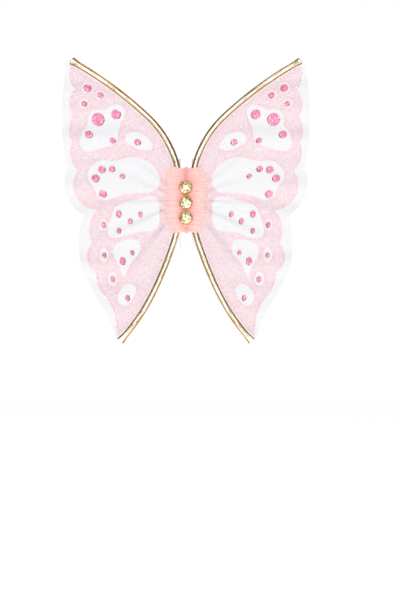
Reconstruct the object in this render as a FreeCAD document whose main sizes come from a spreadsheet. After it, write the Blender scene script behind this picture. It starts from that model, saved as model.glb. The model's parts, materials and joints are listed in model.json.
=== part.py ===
import FreeCAD, Part
import Sketcher
import math
import os

# Fairy wings: two sheer, wired wings folding on a small sewn centre, with two elastic arm loops.
# Lengths are millimetres. The wearer's back touches the plane y = 0, the wings stand on the -Y side
# of it, +X is to the right for someone who looks at the wearer's back, and +Z is up.
# Everything is drawn for the right side. The left side is its mirror image about x = 0.

os.makedirs("parts", exist_ok=True)
doc = FreeCAD.newDocument("fairy_wings")

# ---------------------------------------------------------------- driving dimensions

SIZES = [
    ("half_span", 211),  # centre line to the outermost point of one wing
    ("upper_height", 243),  # centre up to the top of the upper wing tips
    ("lower_height", 246),  # centre down to the bottom of the lower wing tips
    ("patch_width", 48),
    ("patch_height", 100),
    ("patch_thickness", 3),
    ("patch_corner", 4),
    ("hinge_offset", 10.5),  # centre line to each wire's upright stretch, which is the fold line
    ("wing_gap", 4),  # patch to the middle plane of the wings
    ("spine_top", 20),  # the wire's upright stretch ends here, above the centre
    ("spine_drop", 15),  # and here, below it
    ("spine_bend", 155),  # radius with which the wire leaves the upright stretch
    ("casing_start_gap", 10),  # patch's top and bottom out to where the gold casings begin
    ("wire_radius", 1.1),
    ("wire_clearance", 0.05),
    ("sleeve_width", 8),
    ("sleeve_wall", 1.1),
    ("sleeve_end_gap", 3),
    ("casing_radius", 4.9),
    ("casing_wall", 0.6),
    ("filler_clearance", 0.1),
    ("tip_length", 12),
    ("tip_width", 13),
    ("tip_thickness", 3.6),
    ("panel_thickness", 0.5),
    ("panel_gap", 0.1),  # between a casing and the panel's edge
    ("glitter_thickness", 0.3),
    ("glitter_gap", 2.2),  # between a casing and the glitter layer's edge
    ("dot_thickness", 0.6),
    ("dot_back_thickness", 0.4),
    ("dot_shift_in", 1.3),  # each gold disc shows as a crescent on the side towards the centre
    ("dot_shift_down", 0.7),
    ("dot_margin", 0.4),  # glitter layer kept clear round each gold disc
    ("gather_gap", 0.3),  # gathered cloth to each wire sleeve
    ("core_lap", 1.5),  # how far the ruffle's core covers each wire sleeve
    ("core_corner", 6.4),
    ("core_height", 112),
    ("core_thickness", 6.5),
    ("frill_wire_gap", 1.125),  # wire to the inner edge of a frill, where they come nearest
    ("frill_shoulder", 24),
    ("frill_reach", 38),
    ("frill_end_gap", 11),  # a frill's top and bottom to where the casings begin
    ("frill_thickness", 3),
    ("thread_width", 1),
    ("thread_thickness", 0.8),
    ("thread_gap", 0.3),  # between the thread and the nearest jewel setting
    ("jewel_pitch", 25.5),
    ("jewel_middle", -5),  # height of the middle jewel
    ("setting_radius", 11.6),
    ("setting_back_radius", 8.2),
    ("setting_depth", 5.5),
    ("setting_floor", 1.2),
    ("setting_wall", 0.6),
    ("stone_clearance", 0.2),
    ("stone_table_radius", 6.2),
    ("stone_crown", 3.5),
    ("claw_width", 1.8),
    ("claw_thickness", 0.9),
    ("claw_reach", 2.0),
    ("strap_width", 10),
    ("strap_thickness", 1.2),
    ("strap_offset", 15),  # centre line to the middle of each strap
    ("strap_end_length", 16),
    ("strap_gap", 0.3),  # between a sewn end and the free loop
]

sizes = doc.addObject("Spreadsheet::Sheet", "sizes")
for row, (name, value) in enumerate(SIZES, start=1):
    sizes.set("A%d" % row, name)
    sizes.set("B%d" % row, str(value))
    sizes.setAlias("B%d" % row, name)
doc.recompute()


def size(name):
    """A driving dimension, read back from the spreadsheet."""
    return float(sizes.get(name))


# ---------------------------------------------------------------- the wing pattern

# Pattern points are millimetres (x, z) on a wing of the pattern's own size. grade() stretches them
# to the driving dimensions, as a sewing pattern is graded. Each edge is a row of arcs, given by
# start, middle and end, and each arc starts where the last one ended.
PATTERN_SPAN = 211
PATTERN_UPPER = 243
PATTERN_LOWER = 246

UPPER_WIRE = [(64, 141), (185, 231.2)]
LOWER_WIRE = [(54.4, -155), (104.5, -231.3)]

PANEL_EDGE = [
    ((203, 230), (210.5, 140), (201.3, 53.6)),
    ((201.3, 53.6), (203, 9), (173.6, -26.4)),
    ((173.6, -26.4), (182, -76), (173.4, -122.4)),
    ((173.4, -122.4), (155, -159), (133, -193)),
    ((133, -193), (125, -216), (118, -235)),
]

GLITTER_EDGE = [
    ((196.7, 225), (197.5, 206), (188.2, 188)),
    ((188.2, 188), (198, 166), (191.3, 143.7)),
    ((191.3, 143.7), (199, 120), (193.3, 97.8)),
    ((193.3, 97.8), (196.5, 75), (183.6, 51)),
    ((183.6, 51), (190.5, 19), (149.8, -17)),
    ((149.8, -17), (164, -46), (159, -73)),
    ((159, -73), (168, -99), (152.7, -123.3)),
    ((152.7, -123.3), (150, -144), (137.4, -163.2)),
    ((137.4, -163.2), (126.5, -180), (120, -197)),
    ((120, -197), (118.5, -213), (116.5, -229)),
]

# Windows in the glitter layer: round or oval ones as (x, z, width, height), the others as the
# points of a closed smooth curve.
OVAL_WINDOWS = [
    (167.7, 190.4, 18.7, 18.7),
    (145.8, 178.2, 16, 16),
    (173.1, 163.7, 16, 16),
    (140.5, -42.2, 12.8, 19),
    (139.4, -93.7, 15, 25),
    (124.8, -134.1, 16, 24),
]
CURVED_WINDOWS = [
    [(165, 143), (154, 154), (137, 154), (124, 161), (110, 160), (104, 152), (108, 136), (114, 119),
     (118, 100), (130, 92), (146, 87), (175, 85), (176, 115), (167, 129)],
    [(103, 105), (95, 115), (83, 115), (70, 110), (60, 99), (56, 90), (72, 84), (90, 91)],
    [(167, 46), (158, 60), (140, 68), (124, 66), (97, 73), (70, 68), (44, 34), (50, 18), (85, 11),
     (121, 4), (137, 0), (150, 7), (155, 18)],
    [(121, -14), (129, -35), (130, -62), (111, -64), (87, -56), (49, -48), (45, -22), (47, 0), (90, 0)],
    [(122, -78), (105, -68), (80, -71), (79, -90), (92, -106), (107, -132), (112, -116), (122, -96)],
    [(95, -142), (112, -154), (115, -172), (104, -180), (90, -168), (85, -150)],
]

# Glitter dots as (x, z, diameter).
DOTS = [
    (167.7, 190.4, 12.6), (145.8, 178.2, 10), (173.1, 163.7, 9), (149.8, 137.2, 21),
    (119.2, 145.9, 15.5), (165.3, 111.4, 12.8), (124.7, 101, 9.2), (82.5, 98.3, 10.4),
    (143.2, 52, 12), (126, 52.9, 10), (108.4, 40.6, 8.2), (153.9, 37, 12.6),
    (141.6, 10.5, 12.2), (114.6, -23.6, 10), (94.9, -35.7, 8.3), (77.8, -24, 7.8),
    (140.5, -42.2, 8.5), (114.2, -52, 8), (91.7, -89, 7), (139.4, -93.7, 7.8),
    (108, -103.5, 11), (124.8, -134.1, 8.6), (99.4, -166.2, 8.2),
]

# The arm loop beyond the patch, seen from the side: how far each point stands off towards the
# wearer, and how high it lies above the end that it is measured from, first the upper sewn end and
# then the lower one. The band hangs from its upper end in a limp, drooping bow.
STRAP_ABOVE = [(4, 7.7), (34, 21.7), (66, -4.3)]
STRAP_BELOW = [(70, 10.3), (50, -33.7), (24, -27.7), (4, -7.7)]

# Depths, all measured towards -Y from the wearer's back.
patch_face = -size("patch_thickness")
wing_plane = patch_face - size("wing_gap")
panel_face = wing_plane - size("panel_thickness") / 2
glitter_face = panel_face - size("glitter_thickness")
sleeve_face = wing_plane - size("wire_radius") - size("wire_clearance") - size("sleeve_wall")
core_face = sleeve_face - size("core_thickness")

# Centre line to the near side of each wire sleeve, and the height where the casings begin.
sleeve_inner = size("hinge_offset") - size("sleeve_width") / 2
casing_start = size("patch_height") / 2 + size("casing_start_gap")

OUTWARD = FreeCAD.Rotation(FreeCAD.Vector(1, 0, 0), 90)  # turns a shape's own +Z towards -Y


def grade(point):
    """A pattern point (x, z) stretched to the wing's real span and heights."""
    x, z = point
    if z > 0:
        height = z * size("upper_height") / PATTERN_UPPER
    else:
        height = z * size("lower_height") / PATTERN_LOWER
    return FreeCAD.Vector(x * size("half_span") / PATTERN_SPAN, 0, height)


def tangent_arcs(start, heading, points):
    """Arcs from start through points, each tangent to the one before, and the headings at each."""
    edges = []
    headings = [heading]
    for end in points:
        chord = (end - start).normalize()
        half_turn = math.acos(max(-1, min(1, chord.dot(heading))))
        bulge = (heading - chord * heading.dot(chord))
        if half_turn < 1e-6:
            edges.append(Part.LineSegment(start, end).toShape())
        else:
            sagitta = (end - start).Length / 2 * math.tan(half_turn / 2)
            middle = (start + end) * 0.5 + bulge.normalize() * sagitta
            edges.append(Part.Arc(start, middle, end).toShape())
        heading = chord * (2 * chord.dot(heading)) - heading
        headings.append(heading)
        start = end
    return edges, headings


def wire_nodes(top_side):
    """Points and headings of one wire arm, from the upright stretch's end out to the tip."""
    way = 1 if top_side else -1
    spine_end = size("spine_top") if top_side else size("spine_drop")
    rise = casing_start - spine_end
    bend = size("spine_bend")
    drift = bend - math.sqrt(bend ** 2 - rise ** 2)
    start = FreeCAD.Vector(size("hinge_offset"), 0, way * spine_end)
    root = FreeCAD.Vector(size("hinge_offset") + drift, 0, way * casing_start)
    outline = UPPER_WIRE if top_side else LOWER_WIRE
    points = [root] + [grade(point) for point in outline]
    headings = tangent_arcs(start, FreeCAD.Vector(0, 0, way), points)[1]
    return [start] + points, headings


def offset_nodes(top_side, distance):
    """The same points moved sideways, towards the wing's cloth, by distance."""
    points, headings = wire_nodes(top_side)
    way = 1 if top_side else -1
    moved = []
    for point, heading in zip(points, headings):
        side = FreeCAD.Vector(heading.z * way, 0, -heading.x * way)
        moved.append(point + side * distance)
    return moved, headings


def inner_edge(distance, extra):
    """Edge chain beside the whole wire from the lower tip to the upper one, with its two ends.

    The last stretch at each end runs on by extra and gives way to the flared tip.
    """
    low_points, low_headings = offset_nodes(False, distance)
    top_points, top_headings = offset_nodes(True, distance)
    low_edges = tangent_arcs(low_points[0], low_headings[0], low_points[1:])[0]
    top_edges = tangent_arcs(top_points[0], top_headings[0], top_points[1:])[0]
    flare = size("tip_width") / 2 - size("casing_radius")
    low_side = FreeCAD.Vector(-low_headings[-1].z, 0, low_headings[-1].x)
    top_side = FreeCAD.Vector(top_headings[-1].z, 0, -top_headings[-1].x)
    low_end = low_points[-1] + low_headings[-1] * extra + low_side * flare
    top_end = top_points[-1] + top_headings[-1] * extra + top_side * flare
    edges = [Part.LineSegment(low_end, low_points[-1]).toShape()]
    edges += reversed(low_edges)
    edges.append(Part.LineSegment(low_points[0], top_points[0]).toShape())
    edges += top_edges
    edges.append(Part.LineSegment(top_points[-1], top_end).toShape())
    return edges, low_end, top_end


def cloth_face(outer_arcs, distance, extra):
    """Flat face between a wire and a scalloped outer edge."""
    edges, low_end, top_end = inner_edge(distance, extra)
    outer = [[grade(point) for point in arc] for arc in outer_arcs]
    edges.append(Part.LineSegment(top_end, outer[0][0]).toShape())
    for start, middle, end in outer:
        edges.append(Part.Arc(start, middle, end).toShape())
    edges.append(Part.LineSegment(outer[-1][2], low_end).toShape())
    return Part.Face(Part.Wire(Part.__sortEdges__(edges)))


# ---------------------------------------------------------------- document helpers

def bind(item, **expressions):
    """Bind properties of a document object to expressions on the spreadsheet."""
    for key, expression in expressions.items():
        item.setExpression(key, expression)


def make(kind, label, **expressions):
    """A document object with its label and bound sizes."""
    item = doc.addObject(kind, label)
    item.Label = label
    bind(item, **expressions)
    return item


def shaped(label, shape, shift=0):
    """A plain feature holding a shape built above in the wing plane, moved along Y by shift."""
    item = doc.addObject("Part::Feature", label)
    item.Label = label
    item.Shape = shape
    item.Placement.Base = FreeCAD.Vector(0, shift, 0)
    return item


def plate(label, width, height, depth):
    """A PartDesign rectangle centred on the origin and padded from y = 0 towards -Y."""
    body = doc.addObject("PartDesign::Body", label)
    body.Label = label
    sketch = body.newObject("Sketcher::SketchObject", label + "_sketch")
    plane = [item for item in body.Origin.OriginFeatures if item.Role == "XZ_Plane"][0]
    sketch.AttachmentSupport = [(plane, "")]
    sketch.MapMode = "FlatFace"
    corners = [(-1, -1), (1, -1), (1, 1), (-1, 1)]
    for number in range(4):
        ends = [FreeCAD.Vector(x * 10, z * 10, 0) for x, z in (corners[number], corners[number - 3])]
        sketch.addGeometry(Part.LineSegment(*ends))
    for number in range(4):
        sketch.addConstraint(Sketcher.Constraint("Coincident", number, 2, (number + 1) % 4, 1))
    for number in range(4):
        sketch.addConstraint(Sketcher.Constraint("Horizontal" if number % 2 == 0 else "Vertical", number))
    sketch.addConstraint(Sketcher.Constraint("Symmetric", 0, 1, 2, 1, -1, 1))
    across = sketch.addConstraint(Sketcher.Constraint("DistanceX", 0, 1, 0, 2, 20))
    upward = sketch.addConstraint(Sketcher.Constraint("DistanceY", 1, 1, 1, 2, 20))
    sketch.setExpression("Constraints[%d]" % across, width)
    sketch.setExpression("Constraints[%d]" % upward, height)
    pad = body.newObject("PartDesign::Pad", label + "_pad")
    pad.Profile = sketch
    pad.setExpression("Length", depth)
    doc.recompute()
    return body, pad


def rounded(body, pad, radius):
    """Round the four edges of a plate that run through its thickness."""
    names = []
    for number, edge in enumerate(pad.Shape.Edges, start=1):
        if abs(edge.tangentAt(edge.FirstParameter).y) > 0.99:
            names.append("Edge%d" % number)
    fillet = body.newObject("PartDesign::Fillet", body.Label + "_corners")
    fillet.Base = (pad, names)
    fillet.setExpression("Radius", radius)
    doc.recompute()
    return body


def mirrored(item, label):
    """The left-hand copy of a right-hand piece."""
    copy = doc.addObject("Part::Mirroring", label)
    copy.Label = label
    copy.Source = item
    copy.Base = FreeCAD.Vector(0, 0, 0)
    copy.Normal = FreeCAD.Vector(1, 0, 0)
    return copy


pieces = []


def both_sides(item):
    """Keep a right-hand piece and its mirror image as two nodes."""
    pieces.append(item)
    pieces.append(mirrored(item, item.Label.replace("right_", "left_")))


# ---------------------------------------------------------------- sewn centre

# The elastic's two ends on each side, sewn down flush with the patch's wearer side.
strap_ends = []
strap_side = size("strap_offset") - size("strap_width") / 2
for name, low in [
    ("strap_end_above", size("patch_height") / 2 - size("strap_end_length")),
    ("strap_end_below", -size("patch_height") / 2),
]:
    end = make("Part::Box", name, Length="sizes.strap_width", Width="sizes.strap_thickness",
               Height="sizes.strap_end_length")
    end.Placement.Base = FreeCAD.Vector(strap_side, -size("strap_thickness"), low)
    strap_ends.append(end)
sewn_ends = make("Part::Compound", "right_strap_ends")
sewn_ends.Links = strap_ends
both_sides(sewn_ends)

# Stiff patch behind everything, with a shallow step where each strap end lies.
patch_body, patch_pad = plate("patch_blank", "sizes.patch_width", "sizes.patch_height",
                              "sizes.patch_thickness")
rounded(patch_body, patch_pad, "sizes.patch_corner")
patch_steps = make("Part::Compound", "patch_steps")
patch_steps.Links = [sewn_ends, doc.getObject("left_strap_ends")]
patch = make("Part::Cut", "backing_patch")
patch.Base = patch_body
patch.Tool = patch_steps
pieces.append(patch)

# The wings' cloth bunched together between the two wire sleeves.
gather = make("Part::Box", "center_gather", Height="sizes.patch_height",
              Length="2 * (sizes.hinge_offset - sizes.sleeve_width / 2 - sizes.gather_gap)")
gather.Width = patch_face - sleeve_face
gather.Placement.Base = FreeCAD.Vector(size("gather_gap") - sleeve_inner, sleeve_face, -size("patch_height") / 2)
pieces.append(gather)

# Gathered middle of the ruffle, which carries the jewels.
core, core_pad = plate("ruffle_core", "2 * (sizes.hinge_offset - sizes.sleeve_width / 2 + sizes.core_lap)",
                       "sizes.core_height", "sizes.core_thickness")
rounded(core, core_pad, "sizes.core_corner")
core.Placement.Base = FreeCAD.Vector(0, sleeve_face, 0)
pieces.append(core)

# Felt tunnel round the upright stretch of each wire. The wire turns in it.
sleeve_low = -size("spine_drop") + size("sleeve_end_gap")
sleeve_high = size("spine_top") - size("sleeve_end_gap")
sleeve_block = make("Part::Box", "sleeve_block", Length="sizes.sleeve_width")
sleeve_block.Width = patch_face - sleeve_face
sleeve_block.Height = sleeve_high - sleeve_low
sleeve_block.Placement.Base = FreeCAD.Vector(sleeve_inner, sleeve_face, sleeve_low)
sleeve_bore = make("Part::Cylinder", "sleeve_bore", Radius="sizes.wire_radius + sizes.wire_clearance")
sleeve_bore.Height = sleeve_high - sleeve_low
sleeve_bore.Placement.Base = FreeCAD.Vector(size("hinge_offset"), wing_plane, sleeve_low)
sleeve = make("Part::Cut", "right_wire_sleeve")
sleeve.Base = sleeve_block
sleeve.Tool = sleeve_bore
both_sides(sleeve)

# Gathering thread, which shows above the top jewel and below the bottom one.
thread_runs = []
core_half = size("core_height") / 2
jewel_top_edge = size("jewel_middle") + size("jewel_pitch") + size("setting_radius")
jewel_low_edge = size("jewel_middle") - size("jewel_pitch") - size("setting_radius")
for name, low, high in [
    ("thread_above", jewel_top_edge + size("thread_gap"), core_half),
    ("thread_below", -core_half, jewel_low_edge - size("thread_gap")),
]:
    run = make("Part::Box", name, Length="sizes.thread_width", Width="sizes.thread_thickness")
    run.Height = high - low
    run.Placement.Base = FreeCAD.Vector(
        -size("thread_width") / 2, core_face - size("thread_thickness"), low)
    thread_runs.append(run)
thread = make("Part::Compound", "gather_thread")
thread.Links = thread_runs
pieces.append(thread)

# ---------------------------------------------------------------- jewels

CLAWS = 4
STONE_SIDES = 8


def jewel_setting(label, seat):
    """A flared metal cup with four claws that bend in over the stone."""
    shell = make("Part::Cone", label + "_shell", Radius1="sizes.setting_back_radius",
                 Radius2="sizes.setting_radius", Height="sizes.setting_depth")
    hollow = make("Part::Cone", label + "_hollow",
                  Radius1="sizes.setting_back_radius - sizes.setting_wall",
                  Radius2="sizes.setting_radius - sizes.setting_wall",
                  Height="sizes.setting_depth - sizes.setting_floor")
    hollow.setExpression("Placement.Base.z", "sizes.setting_floor")
    cup = make("Part::Cut", label + "_cup")
    cup.Base = shell
    cup.Tool = hollow
    parts = [cup]
    for number in range(CLAWS):
        turn = FreeCAD.Rotation(FreeCAD.Vector(0, 0, 1), 45 + number * 360 / CLAWS)
        stem = make("Part::Box", "%s_stem_%d" % (label, number), Length="sizes.claw_thickness",
                    Width="sizes.claw_width", Height="sizes.claw_reach + sizes.claw_thickness")
        hook = make("Part::Box", "%s_hook_%d" % (label, number), Length="sizes.claw_reach",
                    Width="sizes.claw_width", Height="sizes.claw_thickness")
        rim = size("setting_radius")
        stem_base = FreeCAD.Vector(rim - size("setting_wall"), -size("claw_width") / 2,
                                   size("setting_depth") - size("claw_reach") / 2)
        hook_base = FreeCAD.Vector(rim + size("claw_thickness") - size("setting_wall") - size("claw_reach"),
                                   -size("claw_width") / 2,
                                   size("setting_depth") + size("claw_reach") / 2)
        stem.Placement = FreeCAD.Placement(turn.multVec(stem_base), turn)
        hook.Placement = FreeCAD.Placement(turn.multVec(hook_base), turn)
        parts += [stem, hook]
    setting = make("Part::MultiFuse", label)
    setting.Shapes = parts
    setting.Placement = FreeCAD.Placement(seat, OUTWARD)
    return setting


def faceted_stone(label, seat):
    """An eight-sided stone: a flat table, a sloping crown and a pavilion inside the cup."""
    floor = size("setting_floor")
    girdle_height = size("setting_depth") - size("stone_clearance")
    girdle_radius = size("setting_radius") - size("setting_wall") - 2 * size("stone_clearance")
    rings = [
        (size("setting_back_radius") / 2, floor + size("stone_clearance")),
        (girdle_radius, girdle_height),
        (size("stone_table_radius"), girdle_height + size("stone_crown")),
    ]
    sections = []
    for number, (radius, height) in enumerate(rings):
        ring = make("Part::RegularPolygon", "%s_ring_%d" % (label, number))
        ring.Polygon = STONE_SIDES
        ring.Circumradius = radius
        ring.Placement.Base = FreeCAD.Vector(0, 0, height)
        sections.append(ring)
    stone = make("Part::Loft", label)
    stone.Sections = sections
    stone.Solid = True
    stone.Ruled = True
    stone.Placement = FreeCAD.Placement(seat, OUTWARD)
    return stone


for name, step in [("top", 1), ("middle", 0), ("bottom", -1)]:
    place = FreeCAD.Vector(0, core_face, size("jewel_middle") + step * size("jewel_pitch"))
    pieces.append(jewel_setting("jewel_setting_" + name, place))
    pieces.append(faceted_stone("jewel_" + name, place))

# ---------------------------------------------------------------- wire, filler and casings

def round_section(centre, heading, radius):
    """A circle of the given radius across a path."""
    return Part.Wire(Part.makeCircle(radius, centre, heading))


def pipe(edges, start, heading, radius):
    """A round solid swept along a row of tangent arcs."""
    spine = Part.Wire(edges)
    return spine.makePipeShell([round_section(start, heading, radius)], True, True)


def casing_path(top_side):
    """Edges, start and heading of the stretch that a gold casing covers, and its far end."""
    points, headings = wire_nodes(top_side)
    edges = tangent_arcs(points[1], headings[1], points[2:])[0]
    return edges, points[1], headings[1], points[-1], headings[-1]


def folded_tip(end, heading):
    """The casing's end, pressed flat: round where it leaves the casing, wide and thin at its tip."""
    flat_end = end + heading * size("tip_length")
    across = FreeCAD.Vector(0, 1, 0).cross(heading)
    flat = Part.Ellipse(flat_end + across * (size("tip_width") / 2),
                        flat_end + FreeCAD.Vector(0, size("tip_thickness") / 2, 0), flat_end)
    sections = [round_section(end, heading, size("casing_radius")), Part.Wire(flat.toShape())]
    return Part.makeLoft(sections, True, True)


def gold_casing(top_side):
    """Gold tube over a wire arm, closed by its folded tip."""
    edges, start, heading, end, end_heading = casing_path(top_side)
    outer = pipe(edges, start, heading, size("casing_radius"))
    inner = pipe(edges, start, heading, size("casing_radius") - size("casing_wall"))
    return outer.cut(inner).fuse(folded_tip(end, end_heading)).removeSplitter()


def soft_filler(top_side):
    """Wadding between the wire and the casing."""
    edges, start, heading, end, end_heading = casing_path(top_side)
    radius = size("casing_radius") - size("casing_wall") - size("filler_clearance")
    outer = pipe(edges, start, heading, radius)
    return outer.cut(pipe(edges, start, heading, size("wire_radius") + size("wire_clearance")))


def frame_wire():
    """One steel wire from the lower tip through the upright stretch to the upper tip."""
    low_points, low_headings = wire_nodes(False)
    top_points, top_headings = wire_nodes(True)
    low_edges = tangent_arcs(low_points[0], low_headings[0], low_points[1:])[0]
    top_edges = tangent_arcs(top_points[0], top_headings[0], top_points[1:])[0]
    edges = [Part.LineSegment(low_points[0], top_points[0]).toShape()] + top_edges
    upper = pipe(edges, low_points[0], FreeCAD.Vector(0, 0, 1), size("wire_radius"))
    lower = pipe(low_edges, low_points[0], low_headings[0], size("wire_radius"))
    return upper.fuse(lower).removeSplitter()


both_sides(shaped("right_frame_wire", frame_wire(), wing_plane))
both_sides(shaped("right_upper_casing", gold_casing(True), wing_plane))
both_sides(shaped("right_lower_casing", gold_casing(False), wing_plane))
both_sides(shaped("right_upper_filler", soft_filler(True), wing_plane))
both_sides(shaped("right_lower_filler", soft_filler(False), wing_plane))

# ---------------------------------------------------------------- cloth layers

panel_distance = size("casing_radius") + size("panel_gap")
panel_outline = shaped("panel_outline", cloth_face(PANEL_EDGE, panel_distance, size("tip_length")),
                       panel_face)
panel = make("Part::Extrusion", "right_wing_panel", LengthFwd="sizes.panel_thickness")
panel.Base = panel_outline
panel.Dir = FreeCAD.Vector(0, 1, 0)
panel.Solid = True
both_sides(panel)

glitter_distance = size("casing_radius") + size("glitter_gap")
glitter_outline = shaped("glitter_outline", cloth_face(GLITTER_EDGE, glitter_distance,
                                                       size("tip_length") * 2 / 3), glitter_face)
glitter_sheet = make("Part::Extrusion", "glitter_sheet", LengthFwd="sizes.glitter_thickness")
glitter_sheet.Base = glitter_outline
glitter_sheet.Dir = FreeCAD.Vector(0, 1, 0)
glitter_sheet.Solid = True


def window_prism(outline):
    """A prism through the glitter layer with the given closed outline."""
    prism = Part.Face(Part.Wire(outline)).extrude(FreeCAD.Vector(0, 3 * size("glitter_thickness"), 0))
    prism.translate(FreeCAD.Vector(0, -size("glitter_thickness"), 0))
    return prism


def oval(x, z, width, height):
    """Closed ellipse in the wing plane, upright or lying, or a circle."""
    centre = grade((x, z))
    if abs(width - height) < 1e-6:
        return Part.makeCircle(width / 2, centre, FreeCAD.Vector(0, 1, 0))
    tall = centre + FreeCAD.Vector(0, 0, height / 2)
    wide = centre + FreeCAD.Vector(width / 2, 0, 0)
    return Part.Ellipse(tall, wide, centre).toShape()


def smooth_loop(points):
    """Closed smooth curve through graded pattern points."""
    curve = Part.BSplineCurve()
    curve.interpolate([grade(point) for point in points], PeriodicFlag=True)
    return curve.toShape()


windows = [window_prism(oval(*window)) for window in OVAL_WINDOWS]
windows += [window_prism(smooth_loop(points)) for points in CURVED_WINDOWS]
inward = FreeCAD.Vector(-size("dot_shift_in"), 0, -size("dot_shift_down"))
for x, z, diameter in DOTS:
    clear = Part.makeCircle(diameter / 2 + size("dot_margin"), grade((x, z)) + inward,
                            FreeCAD.Vector(0, 1, 0))
    windows.append(window_prism(clear))
window_tools = shaped("glitter_windows", windows[0].multiFuse(windows[1:]), glitter_face)
glitter = make("Part::Cut", "right_glitter_layer")
glitter.Base = glitter_sheet
glitter.Tool = window_tools
both_sides(glitter)

dots = []
dot_backs = []
for number, (x, z, diameter) in enumerate(DOTS, start=1):
    centre = grade((x, z))
    back = make("Part::Cylinder", "dot_back_%d" % number, Height="sizes.dot_back_thickness")
    back.Radius = diameter / 2
    back.Placement = FreeCAD.Placement(centre + inward + FreeCAD.Vector(0, panel_face, 0), OUTWARD)
    dot = make("Part::Cylinder", "dot_%d" % number, Height="sizes.dot_thickness")
    dot.Radius = diameter / 2
    front = panel_face - size("dot_back_thickness")
    dot.Placement = FreeCAD.Placement(centre + FreeCAD.Vector(0, front, 0), OUTWARD)
    dots.append(dot)
    dot_backs.append(back)
pink_dots = make("Part::Compound", "right_glitter_dots")
pink_dots.Links = dots
both_sides(pink_dots)
gold_discs = make("Part::Compound", "right_dot_backs")
gold_discs.Links = dot_backs
both_sides(gold_discs)

# ---------------------------------------------------------------- ruffle frills

def frill_face():
    """Half of the ruffle's outline: straight beside the core, bowed outwards."""
    half = casing_start - size("frill_end_gap")
    rise = half - min(size("spine_top"), size("spine_drop"))
    drift = size("spine_bend") - math.sqrt(size("spine_bend") ** 2 - rise ** 2)
    start = size("hinge_offset") + drift + size("wire_radius") + size("frill_wire_gap")
    shoulder = size("frill_shoulder")
    corners = [FreeCAD.Vector(shoulder, 0, half), FreeCAD.Vector(start, 0, half),
               FreeCAD.Vector(start, 0, -half), FreeCAD.Vector(shoulder, 0, -half)]
    edges = [Part.LineSegment(one, two).toShape() for one, two in zip(corners, corners[1:])]
    outmost = FreeCAD.Vector(size("frill_reach"), 0, 0)
    edges.append(Part.Arc(corners[3], outmost, corners[0]).toShape())
    return Part.Face(Part.Wire(edges))


frill_outline = shaped("frill_outline", frill_face(), glitter_face)
frill = make("Part::Extrusion", "right_ruffle_frill", LengthFwd="sizes.frill_thickness")
frill.Base = frill_outline
frill.Dir = FreeCAD.Vector(0, -1, 0)
frill.Solid = True
both_sides(frill)

# ---------------------------------------------------------------- straps

def strap_side_chain(points, headings, distance):
    """One face of the band: its middle line moved sideways by distance, with its end points."""
    moved = []
    for point, heading in zip(points, headings):
        moved.append(point + FreeCAD.Vector(0, heading.z, -heading.y) * distance)
    return tangent_arcs(moved[0], headings[0], moved[1:])[0], moved[0], moved[-1]


def strap_profile():
    """The free loop's outline, seen from the side and standing in the plane x = 0."""
    half = size("strap_thickness") / 2
    middle = -half
    end_height = size("patch_height") / 2 + size("strap_gap")
    start = FreeCAD.Vector(0, middle, end_height)
    points = [FreeCAD.Vector(0, middle + reach, end_height + rise) for reach, rise in STRAP_ABOVE]
    points += [FreeCAD.Vector(0, middle + reach, rise - end_height) for reach, rise in STRAP_BELOW]
    points.append(FreeCAD.Vector(0, middle, -end_height))
    headings = tangent_arcs(start, FreeCAD.Vector(0, 0, 1), points)[1]
    inner, inner_start, inner_end = strap_side_chain([start] + points, headings, half)
    outer, outer_start, outer_end = strap_side_chain([start] + points, headings, -half)
    caps = [Part.LineSegment(inner_start, outer_start).toShape(),
            Part.LineSegment(inner_end, outer_end).toShape()]
    return Part.Face(Part.Wire(Part.__sortEdges__(inner + outer + caps)))


strap_outline = shaped("strap_outline", strap_profile())
strap_outline.Placement.Base.x = strap_side
strap = make("Part::Extrusion", "right_arm_strap", LengthFwd="sizes.strap_width")
strap.Base = strap_outline
strap.Dir = FreeCAD.Vector(1, 0, 0)
strap.Solid = True
both_sides(strap)

# ---------------------------------------------------------------- checks and export

doc.recompute()
for item in doc.Objects:
    if "Invalid" in item.State or "Error" in item.State:
        raise RuntimeError("%s failed: %s" % (item.Label, item.State))
for item in pieces:
    if item.Shape.isNull() or not item.Shape.isValid():
        raise RuntimeError("%s has no valid shape" % item.Label)
    item.Shape.exportStep(os.path.join("parts", item.Label + ".step"))
    print(item.Label, len(item.Shape.Solids), "solids", round(item.Shape.Volume, 1), "mm3")
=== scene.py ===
import json
import math

import bmesh
import bpy
import numpy as np
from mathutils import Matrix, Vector
from mathutils.geometry import delaunay_2d_cdt


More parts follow.
